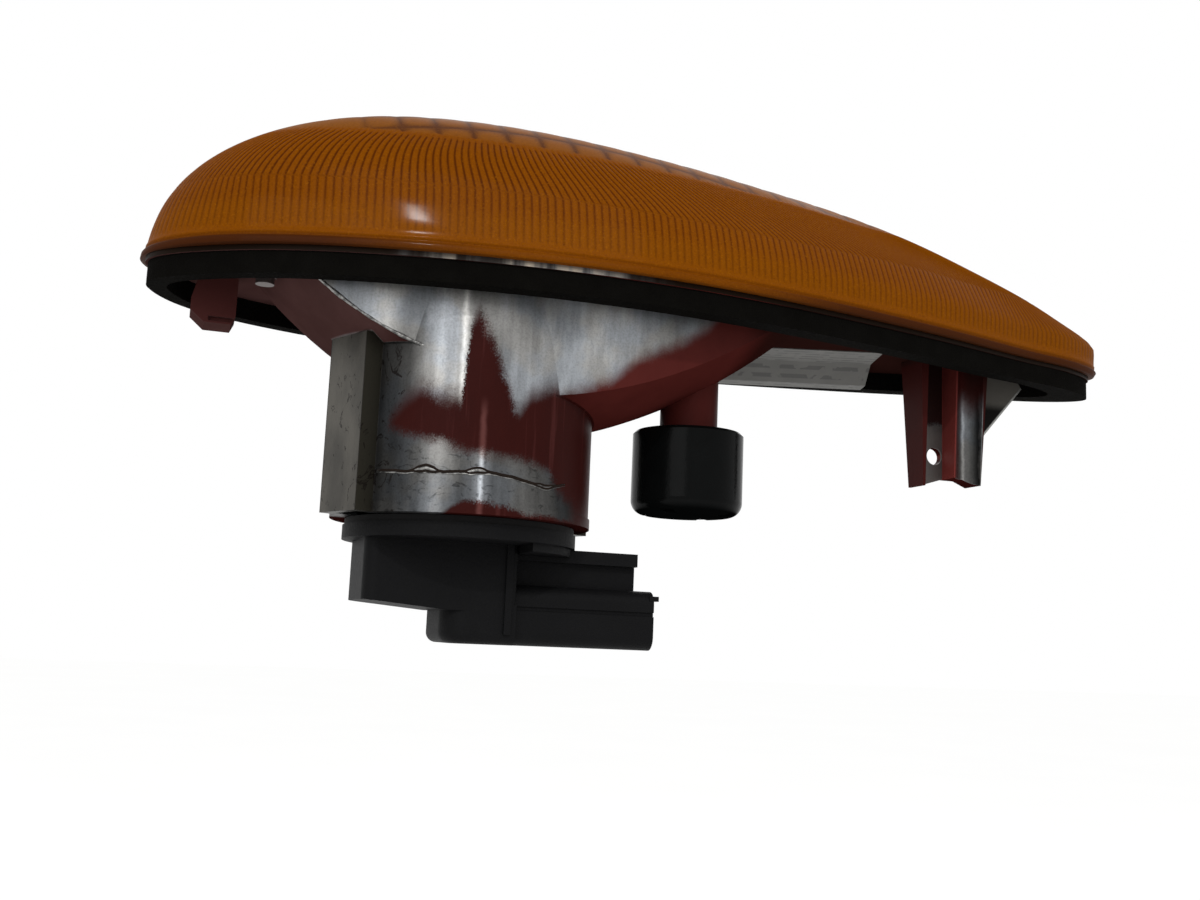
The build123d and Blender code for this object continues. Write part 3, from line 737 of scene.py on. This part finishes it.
web_face = paint.times(paint.near(paint.x, 87.4, 2.95, 0.1), paint.near(paint.y, -0.8, 0.3, 0.1))
web_silver = paint.times(web_face, paint.below(ragged_z, -9.0, -7.8), 0.8)
strip_painted_light = paint.times(paint.near(paint.x, 90.45, 0.25, 0.1), paint.below(paint.z, *tower_top))
peg_silver = paint.times(paint.near(paint.x, -34.0, 1.7, 0.2), paint.near(paint.y, -8.0, 1.7, 0.2))
peg_silver = paint.times(peg_silver, paint.below(paint.z, *flange_back))
rim_edge = paint.times(
    paint.near(paint.z, 3.8, 0.45, 0.05),
    paint.below(paint.sum("ABSOLUTE", paint.normal_z), 0.3, 0.6),
)
rim_silver = paint.times(
    rim_edge,
    paint.near(ragged_x, 3.0, 14.0, 9.0),
    paint.below(paint.y, -16.0, -10.0),
    paint.spread(paint.above(paint.noise(0.3, 5.0, stretch=(1, 1, 0)), 0.4, 0.6), 0.1, 1.0),
)
body_silver = paint.sum("ADD", tube_silver, wall_silver)
silver = paint.most(body_silver, keel_silver, groove_silver, web_silver, peg_silver, rim_silver, fin_edge_highlight)


black = (0, 0, 0, 1)
warm_silver = (1.0, 0.985, 0.95, 1)
cool_silver = (0.93, 0.98, 1.04, 1)


def grey(level):
    """A grey as it is on screen, from 0 to 255, as one number for the shader."""
    return tint(level, level, level)[0]


def tone(finish, value, points):
    """Grey levels along a coordinate, as they are on screen."""
    return finish.curve(value, [(place, grey(level)) for place, level in points])


cloud = paint.noise(0.16, 5.0, stretch=(1, 1, 0.45))
# Long streaks that lighten the silver and the red tube are painted gloss reflections.
glint_streak = paint.noise(0.9, 3.0, stretch=(1, 1, 0.05))
grit = paint.noise(3.2, 3.0)
wavy_x = paint.sum("MULTIPLY_ADD", edge_noise, 0.7, paint.x)
# The grey levels along the tube, walls and groove are painted light: dark where the surface lies in shade,
# with narrow bright bands that are painted reflections.
tube_painted_light_high = tone(
    paint,
    wavy_x,
    (
        (-20.6, 38),
        (-16.0, 46),
        (-14.3, 54),
        (-12.5, 78),
        (-11.0, 112),
        (-9.3, 142),
        (-8.4, 160),
        (-7.4, 134),
        (-6.0, 140),
        (-5.4, 206),
        (-4.8, 138),
        (-3.0, 118),
        (-1.0, 116),
        (1.0, 132),
        (3.0, 140),
        (6.0, 146),
        (9.0, 150),
        (13.0, 142),
        (20.6, 120),
    ),
)
tube_painted_light_low = tone(
    paint,
    wavy_x,
    (
        (-20.6, 44),
        (-16.0, 58),
        (-14.0, 52),
        (-12.0, 78),
        (-10.6, 88),
        (-9.4, 132),
        (-8.2, 158),
        (-7.0, 122),
        (-5.0, 86),
        (-3.2, 96),
        (-2.4, 132),
        (-1.9, 224),
        (-1.4, 128),
        (0.0, 88),
        (3.0, 98),
        (6.0, 92),
        (9.0, 84),
        (11.0, 62),
        (13.0, 46),
        (20.6, 38),
    ),
)
tube_painted_light = paint.mix(paint.above(paint.z, -21.0, -17.0), tube_painted_light_low, tube_painted_light_high)
wall_painted_light = tone(
    paint,
    wavy_x,
    (
        (-33.0, 108),
        (-28.0, 132),
        (-22.0, 118),
        (-16.0, 150),
        (-13.0, 142),
        (-9.5, 112),
        (-6.5, 116),
        (-5.6, 186),
        (-4.8, 128),
        (0.0, 120),
        (4.0, 132),
        (8.0, 164),
        (13.0, 174),
        (18.0, 158),
        (22.0, 136),
        (27.0, 122),
        (33.0, 108),
        (40.0, 96),
    ),
)
groove_painted_light = tone(
    paint,
    wavy_x,
    (
        (90.5, 60),
        (92.0, 66),
        (93.0, 96),
        (93.5, 156),
        (94.0, 104),
        (95.0, 62),
        (95.9, 40),
        (96.4, 120),
        (97.3, 60),
    ),
)
low_band = paint.times(on_tube, paint.below(paint.z, -21.0, -18.0))
# The silver's grey holds that painted shade and those painted reflections, mottled by cloud, grit and
# smudges.
silver_tone_and_painted_light = paint.mix(on_tube, wall_painted_light, tube_painted_light)
silver_tone_and_painted_light = paint.times(silver_tone_and_painted_light, paint.spread(low_band, 1.0, 0.78))
silver_tone_and_painted_light = paint.mix(in_groove, silver_tone_and_painted_light, groove_painted_light)
silver_tone_and_painted_light = paint.times(silver_tone_and_painted_light, paint.spread(paint.above(cloud, 0.3, 0.7), 0.72, 1.22))
silver_tone_and_painted_light = paint.times(silver_tone_and_painted_light, paint.spread(paint.above(glint_streak, 0.3, 0.7), 0.9, 1.1))
silver_tone_and_painted_light = paint.times(silver_tone_and_painted_light, paint.spread(paint.above(grit, 0.42, 0.66), 1.06, 0.9))
smudge = paint.above(paint.noise(0.5, 6.0, stretch=(1, 1, 1.6), warp=1.2), 0.56, 0.68)
smudge_place = paint.times(on_tube, paint.below(paint.z, -24.0, -22.0))
silver_tone_and_painted_light = paint.times(silver_tone_and_painted_light, paint.spread(paint.times(smudge, smudge_place), 1.0, 0.5))
hue_share = paint.above(paint.noise(0.11, 3.0), 0.42, 0.58)
silver_hue = paint.mix(hue_share, warm_silver, cool_silver)
silver_colour = paint.mix(silver_tone_and_painted_light, black, silver_hue)
scratch_noise = paint.noise(0.32, 6.0, stretch=(1, 1, 0.6), warp=2.6)
scratch = paint.near(scratch_noise, 0.648, 0.022, 0.015)
# The keel is darker on its side faces and towards its side edges, painted shade.
keel_face_with_edge_shade = paint.mix(paint.above(cloud, 0.3, 0.7), tint(68, 66, 62), tint(92, 89, 83))
keel_face_with_edge_shade = paint.mix(paint.times(paint.above(keel_across, 4.75, 4.95), 0.8), keel_face_with_edge_shade, tint(30, 27, 25))
keel_colour_with_side_shade = paint.mix(keel_front, tint(44, 42, 36), keel_face_with_edge_shade)
silver_colour = paint.mix(keel_silver, silver_colour, keel_colour_with_side_shade)
silver_colour = paint.mix(peg_silver, silver_colour, tint(92, 84, 82))
marked = paint.most(keel_silver, paint.times(on_tube, paint.below(paint.x, -13.5, -12.0)))
silver_colour = paint.mix(paint.times(scratch, marked, 0.85), silver_colour, tint(22, 18, 16))
silver_colour = paint.mix(web_silver, silver_colour, tint(92, 87, 84))
# The fin's bright edge is a painted highlight on the silver.
silver_colour = paint.mix(fin_edge_highlight, silver_colour, tint(150, 150, 146))
silver_colour = paint.mix(rim_silver, silver_colour, tint(146, 136, 122))


def cloudy(dark, light):
    """A colour that drifts between two, over the housing."""
    return paint.mix(cloud, tint(*dark), tint(*light))


off_tube = paint.without(on_tube)
# Lighter streaks on the red tube are painted reflections.
red_glint_streak = paint.times(paint.above(glint_streak, 0.55, 0.7), on_tube, 0.35)
tube_glint = paint.times(
    on_tube,
    near_side,
    not_under,
    paint.near(wavy_x, -1.9, 0.4, 0.35),
    paint.below(paint.z, -19.0, -15.0),
    0.3,
)
tail_red = paint.times(paint.near(paint.x, 28.0, 16.0, 4.0), off_tube, near_side, 0.7)
nose_red = paint.times(paint.below(paint.x, -30.0, -25.0), 0.7)
# A grey-pink sheen painted on the nose bowl's underside.
nose_under_sheen = paint.times(
    paint.without(not_under),
    paint.below(paint.x, -19.0, -9.0),
    off_tube,
    paint.above(paint.z, -22.0, -20.0),
    0.8,
)
post_red = paint.times(paint.near(paint.x, 88.0, 6.0, 1.0), paint.below(paint.z, 2.0, 3.0), 0.6)
red_colour = cloudy((42, 15, 13), (60, 22, 19))
red_colour = paint.mix(red_glint_streak, red_colour, tint(92, 48, 46))
red_colour = paint.mix(tube_glint, red_colour, tint(150, 96, 92))
red_colour = paint.mix(paint.above(paint.z, -4.0, 3.0), red_colour, tint(46, 24, 21))
red_colour = paint.mix(tail_red, red_colour, cloudy((84, 34, 31), (104, 46, 42)))
red_colour = paint.mix(nose_red, red_colour, cloudy((72, 37, 35), (94, 52, 50)))
red_colour = paint.mix(nose_under_sheen, red_colour, cloudy((72, 48, 46), (98, 72, 70)))
red_colour = paint.mix(post_red, red_colour, cloudy((58, 20, 18), (76, 28, 26)))
red_colour = paint.mix(rim_edge, red_colour, tint(26, 16, 9))
# The channel wall's narrow side face gets painted light: a brighter red.
red_colour = paint.mix(strip_painted_light, red_colour, cloudy((104, 42, 38), (122, 56, 52)))
# The web deep in the channel is painted dark red, painted shade of its recess.
red_colour = paint.mix(web_face, red_colour, tint(36, 19, 18))
# The fin's face is a painted reflection: dark low down, where it mirrors the black gasket, and light grey
# above.
fin_painted_reflection = paint.mix(paint.above(paint.z, -4.5, -2.5), tint(20, 18, 17), tint(94, 91, 86))
red_colour = paint.mix(fin_place, red_colour, fin_painted_reflection)
paint.give(Base_Color=paint.mix(silver, red_colour, silver_colour))
paint.give(Metallic=paint.times(silver, 0.7))
paint.give(Specular_IOR_Level=paint.spread(not_under, 0.0, 0.03))
paint.give(Roughness=paint.spread(grit, 0.3, 0.46))
# Where the bowl's walls meet the tube, the normal turns to the tube's, as in a moulded blend
outward_line = paint.node("ShaderNodeCombineXYZ")
paint.join(paint.x, outward_line.inputs[0])
paint.join(paint.y, outward_line.inputs[1])
from_axis = paint.node("ShaderNodeVectorMath", operation="NORMALIZE")
paint.join(outward_line.outputs[0], from_axis.inputs[0])
junction = paint.times(
    wall_facing,
    near_side,
    paint.below(radius, 20.7, 26.0),
    paint.without(keel_silver),
)
soft_normal = paint.turned(junction, from_axis.outputs[0])
paint.bump(paint.sum("MULTIPLY_ADD", grit, 0.5, silver), 0.03, soft_normal)
paint.on(nodes["housing"])

# The sprayed coat has lifted in a ragged seam round the tube, and stands proud on the nose bowl's crease
bead_steps = 260
blister_places = ((-118.0, 4.4, 1.0), (-97.0, 3.8, 0.8), (-66.0, 4.6, 0.45))
nose_crease = ((-1.0, -9.985), (-16.95, -9.52), (-32.9, 5.73))
crease_origin = np.array([0.0, -20.4, 0.0])
crease_along = np.array([0.978, -0.208, 0.0])
crease_upward = np.array([-0.022, -0.102, 0.994])
seam_course = (
    (-141.0, -26.8),
    (-125.3, -27.0),
    (-117.8, -26.6),
    (-110.7, -27.1),
    (-102.3, -26.8),
    (-97.0, -26.5),
    (-91.7, -26.7),
    (-78.3, -27.4),
    (-65.7, -28.0),
    (-53.3, -27.2),
)
bead_sides = 6


def bead(name, points, radii):
    """A thin rounded ridge along a line of points, closed at both ends."""
    points, radii = np.asarray(points), np.asarray(radii)
    tangent = unit(np.gradient(points, axis=0))
    across_line = unit(np.cross(tangent, np.array([0.0, 0.0, 1.0])))
    upward_line = np.cross(across_line, tangent)
    turns = (np.arange(bead_sides) * 2 * math.pi / bead_sides)[None, :, None]
    ring = np.cos(turns) * across_line[:, None] + np.sin(turns) * upward_line[:, None]
    skin = points[:, None] + ring * radii[:, None, None]
    count = len(points)
    quads = []
    for i in range(count - 1):
        for k in range(bead_sides):
            beside = (k + 1) % bead_sides
            start_ring, end_ring = i * bead_sides, (i + 1) * bead_sides
            quads.append((start_ring + k, start_ring + beside, end_ring + beside, end_ring + k))
    quads.append(tuple(range(bead_sides))[::-1])
    quads.append(tuple((count - 1) * bead_sides + k for k in range(bead_sides)))
    return new_piece(name, skin.reshape(-1, 3), quads, "lamp")


def wave(places, seed):
    """A smooth ragged line between -1 and 1, the same at each run."""
    draws = np.random.default_rng(seed)
    total = np.zeros_like(places)
    for pitch in (31.0, 13.0, 7.0, 3.3, 1.7):
        total += pitch**0.7 * np.sin(2 * math.pi * (places / pitch + draws.random()))
    return total / np.abs(total).max()


seam_start, seam_end = seam_course[0][0], seam_course[-1][0]
seam_angles = np.linspace(seam_start, seam_end, bead_steps)
seam_level = np.interp(seam_angles, *np.array(seam_course).T) + 0.12 * wave(seam_angles, 4)
blisters = sum(
    size * np.exp(-(((seam_angles - middle) / width) ** 4)) for middle, width, size in blister_places
)
seam_ends = np.minimum(
    smooth_step(seam_angles, seam_start, seam_start + 6),
    1 - smooth_step(seam_angles, seam_end - 10, seam_end),
)
seam_turns = np.radians(seam_angles)


def seam_line(level, out):
    """Points round the tube at a level, a little out from its wall or in."""
    reach = tube_radius + out
    return np.stack([reach * np.cos(seam_turns), reach * np.sin(seam_turns), level], axis=1)


lip_gap = 0.07 + 0.36 * blisters
lip_size = 0.04 + seam_ends * (0.13 + 0.05 * blisters + 0.03 * wave(seam_angles, 9))
lower_lip = bead("seam_lower_lip", seam_line(seam_level - lip_gap, 0.0), lip_size)
upper_lip = bead("seam_upper_lip", seam_line(seam_level + lip_gap, 0.0), lip_size)
core_size = 0.03 + seam_ends * 0.3 * np.clip(blisters, 0, 1)
seam_core = bead("seam_core", seam_line(seam_level, -0.06 * blisters), core_size)
shelf_size = 0.03 + seam_ends * (0.08 + 0.05 * wave(seam_angles, 6))
seam_shelf = bead("seam_shelf", seam_line(seam_level - lip_gap - 0.22, 0.0), shelf_size)

crease_share = np.linspace(0.16, 0.86, bead_steps)[:, None]
start_point, middle_point, end_point = (np.array(p) for p in nose_crease)
crease_flat = (1 - crease_share) ** 2 * start_point + 2 * crease_share * (1 - crease_share) * middle_point
crease_flat = crease_flat + crease_share**2 * end_point
crease_line = crease_origin + crease_flat[:, :1] * crease_along + crease_flat[:, 1:] * crease_upward
crease_size = 0.24 + 0.12 * wave(crease_share[:, 0] * 90, 3)
crease_piece = bead("nose_crease_edge", crease_line, crease_size)

flake = Finish("lifted_silver_spray", Metallic=0.7, Specular_IOR_Level=0.1)
flake_cloud = flake.noise(1.1, 5.0)
# The flake's grey along the tube is painted highlight and shade, darkest toward the tail.
flake_painted_light = tone(
    flake,
    flake.x,
    (
        (-34.0, 150),
        (-14.0, 130),
        (-10.0, 130),
        (0.0, 150),
        (4.0, 110),
        (14.0, 70),
    ),
)
flake_painted_light = flake.times(flake_painted_light, flake.spread(flake.above(flake_cloud, 0.36, 0.64), 0.35, 1.25))
flake.give(Base_Color=flake.mix(flake_painted_light, black, warm_silver))
flake.give(Roughness=flake.spread(flake_cloud, 0.25, 0.5))
flake.on(crease_piece, seam_core, seam_shelf)

crack = Finish("dark_crack", Specular_IOR_Level=0.05)
crack_cloud = crack.noise(1.1, 4.0)
crack.give(Base_Color=crack.mix(crack_cloud, tint(22, 16, 13), tint(44, 36, 31)))
crack.give(Roughness=crack.spread(crack_cloud, 0.5, 0.8))
crack.on(lower_lip, upper_lip)

# Foam gasket
foam = Finish("black_foam", Specular_IOR_Level=0.02, Roughness=0.95)
foam_pores = foam.dots(2.6)
foam_cloud = foam.noise(0.3, 4.0)
foam.give(Base_Color=foam.mix(foam_cloud, tint(8, 7, 6), tint(17, 16, 14)))
foam.bump(foam.sum("MULTIPLY_ADD", foam_pores, 0.8, foam.noise(1.4, 4.0)), 0.12)
foam.on(nodes["gasket"])

# Breather cap: glossy black rubber
gloss = Finish("glossy_black_rubber")
gloss_cloud = gloss.noise(0.25, 4.0)
gloss_streak = gloss.noise(0.6, 3.0, stretch=(1, 1, 0.05))
gloss.give(Base_Color=gloss.mix(gloss_cloud, tint(6, 7, 7), tint(13, 14, 14)))
gloss.give(Roughness=gloss.spread(gloss_streak, 0.08, 0.24))
gloss.give(Specular_IOR_Level=gloss.spread(gloss.above(gloss.normal_z, -0.8, -0.3), 0.0, 0.05))
gloss.bump(gloss.noise(1.2, 4.0), 0.03)
gloss.on(nodes["breather_cap"])

# Bulb holder: grained black plastic
grained = Finish("grained_black_plastic", Specular_IOR_Level=0.07)
grained_fine = grained.noise(3.0, 4.0)
grained_cloud = grained.noise(0.12, 4.0)
grained.give(Base_Color=grained.mix(grained_cloud, tint(11, 11, 12), tint(20, 20, 21)))
grained.give(Roughness=grained.spread(grained_fine, 0.45, 0.7))
grained.bump(grained_fine, 0.06)
grained.on(nodes["bulb_holder"])

rubber = Finish("black_seal_rubber", Specular_IOR_Level=0.15)
rubber_cloud = rubber.noise(0.8, 4.0)
rubber.give(Base_Color=rubber.mix(rubber_cloud, tint(12, 12, 12), tint(26, 25, 25)))
rubber.give(Roughness=rubber.spread(rubber_cloud, 0.6, 0.85))
rubber.on(nodes["holder_seal"])

# Label: dull white paper, painted mid grey as shade, with plain grey bars
label_turn = math.radians(-17.6)
paper = Finish("label_paper", Specular_IOR_Level=0.2)
label_v = paper.toward(paper.y, paper.x, -label_turn)
paper_cloud = paper.noise(0.25, 4.0)
bar_row = paper.sum("PINGPONG", label_v, 0.9)
bar_mask = paper.above(bar_row, 0.42, 0.56)
bar_break = paper.above(paper.noise(0.42, 2.0, stretch=(1, 0.7, 0.7)), 0.46, 0.5)
paper_with_painted_shade = paper.mix(paper_cloud, tint(104, 103, 100), tint(126, 125, 122))
paper.give(Base_Color=paper.mix(paper.times(bar_mask, bar_break, 0.5), paper_with_painted_shade, tint(70, 70, 70)))
paper.give(Roughness=paper.spread(paper_cloud, 0.5, 0.7))
paper.on(nodes["label"])


def metal(name, dark, light, roughness, *names):
    """A worn metal with cloudy colour and roughness."""
    made = Finish(name, Metallic=1.0)
    cloud_share = made.noise(0.7, 5.0)
    made.give(Base_Color=made.mix(cloud_share, tint(*dark), tint(*light)))
    made.give(Roughness=made.spread(cloud_share, roughness, roughness + 0.2))
    made.bump(made.noise(2.5, 3.0), 0.01)
    made.on(*(nodes[n] for n in names))


metal("terminal_brass", (150, 112, 52), (206, 168, 92), 0.25, "live_terminal", "earth_terminal")
metal("cap_brass", (160, 128, 70), (214, 184, 118), 0.22, "bulb_cap", "bulb_pins")
metal("solder", (120, 120, 122), (176, 176, 178), 0.35, "bulb_contact")
metal("wire_steel", (120, 120, 124), (180, 180, 184), 0.3, "bulb_lead_wires", "bulb_filament")

ceramic = Finish("black_cap_glass", Specular_IOR_Level=0.5)
ceramic_cloud = ceramic.noise(0.9, 4.0)
ceramic.give(Base_Color=ceramic.mix(ceramic_cloud, tint(14, 13, 18), tint(34, 30, 40)))
ceramic.give(Roughness=ceramic.spread(ceramic_cloud, 0.12, 0.3))
ceramic.on(nodes["bulb_insulator"])

glass = Finish("clear_bulb_glass", Transmission_Weight=1.0, IOR=1.5)
glass_cloud = glass.noise(0.3, 3.0)
glass.give(Base_Color=glass.mix(glass_cloud, tint(244, 247, 246), tint(252, 253, 252)))
glass.give(Roughness=glass.spread(glass_cloud, 0.0, 0.04))
glass.on(nodes["bulb_glass"], nodes["bulb_stem"])


def soften(name, width):
    """Rounds the sharp edges of a CAD node, by a width in millimetres."""
    rounding = nodes[name].modifiers.new("soft_edges", "BEVEL")
    rounding.width = width * metres
    rounding.segments = 3
    rounding.limit_method = "ANGLE"
    rounding.angle_limit = math.radians(40)


soften("gasket", 1.2)
soften("breather_cap", 0.4)
soften("bulb_holder", 0.3)

# Studio: a pale floor, a white surround and soft lamps
floor_level = -250.0
floor_half = 6000.0
floor_glow = 0.6
sky_light = 0.5
floor_corners = [
    Vector((x * floor_half, y * floor_half, floor_level)) * metres
    for x, y in ((-1, -1), (1, -1), (1, 1), (-1, 1))
]
floor_mesh = bpy.data.meshes.new("floor")
floor_mesh.from_pydata(floor_corners, [], [(0, 1, 2, 3)])
floor = bpy.data.objects.new("floor", floor_mesh)
bpy.context.scene.collection.objects.link(floor)


def seen_directly(tree):
    """1 for camera, glossy and transmitted rays, and 0 for the light that falls on the object."""
    path = tree.nodes.new("ShaderNodeLightPath")
    total = path.outputs["Is Camera Ray"]
    for name in ("Is Glossy Ray", "Is Transmission Ray"):
        largest = tree.nodes.new("ShaderNodeMath")
        largest.operation = "MAXIMUM"
        tree.links.new(total, largest.inputs[0])
        tree.links.new(path.outputs[name], largest.inputs[1])
        total = largest.outputs[0]
    return total


floor_finish = Finish("pale_floor", Roughness=0.9, Specular_IOR_Level=0.0)
floor_cloud = floor_finish.noise(0.004, 3.0)
floor_finish.give(Base_Color=floor_finish.mix(floor_cloud, tint(226, 226, 225), tint(232, 232, 231)))
floor_finish.shader.inputs["Emission Color"].default_value = (1, 1, 1, 1)
floor_seen = seen_directly(floor_finish.tree)
floor_finish.give(Emission_Strength=floor_finish.times(floor_seen, floor_glow))
floor_finish.on(floor)

world = bpy.data.worlds.new("studio")
world.use_nodes = True
bpy.context.scene.world = world
sky = world.node_tree.nodes["Background"]
sky.inputs["Color"].default_value = (1, 1, 1, 1)
sky_level = world.node_tree.nodes.new("ShaderNodeMapRange")
sky_level.inputs["To Min"].default_value = sky_light
world.node_tree.links.new(seen_directly(world.node_tree), sky_level.inputs["Value"])
world.node_tree.links.new(sky_level.outputs[0], sky.inputs["Strength"])


def softbox(name, place, aim, width, height, watts):
    """A soft lamp at a place, aimed at a point."""
    lamp = bpy.data.lights.new(name, "AREA")
    lamp.shape = "RECTANGLE"
    lamp.size, lamp.size_y = width * metres, height * metres
    lamp.energy = watts
    holder = bpy.data.objects.new(name, lamp)
    bpy.context.scene.collection.objects.link(holder)
    holder.location = Vector(place) * metres
    holder.rotation_euler = (Vector(aim) - Vector(place)).to_track_quat("-Z", "Y").to_euler()


softbox("key", (-20, -560, 420), (10, 0, 0), 600, 600, 1.2)
softbox("sparkle", (-156, -594, 388), (0, 0, 0), 34, 20, 1.0)
softbox("fill", (-420, -520, 160), (0, 0, 0), 400, 400, 0.7)
softbox("back", (300, 500, 500), (20, 0, 0), 500, 500, 1.0)

camera_data = bpy.data.cameras.new("camera")
camera_data.lens = camera_lens
camera_data.sensor_fit = "HORIZONTAL"
camera_data.sensor_width = camera_sensor
camera_data.clip_start = camera_clip_metres
camera = bpy.data.objects.new("camera", camera_data)
bpy.context.scene.collection.objects.link(camera)
forward = Vector(camera_forward).normalized()
level_right = Vector(camera_right).normalized()
level_up = level_right.cross(forward)
roll = math.radians(camera_roll)
right = math.cos(roll) * level_right + math.sin(roll) * level_up
up = math.cos(roll) * level_up - math.sin(roll) * level_right
turn = Matrix((right, up, -forward)).transposed().to_4x4()
camera.matrix_world = Matrix.Translation(Vector(camera_place) * metres) @ turn
bpy.context.scene.camera = camera

bpy.context.scene.view_settings.view_transform = "Standard"
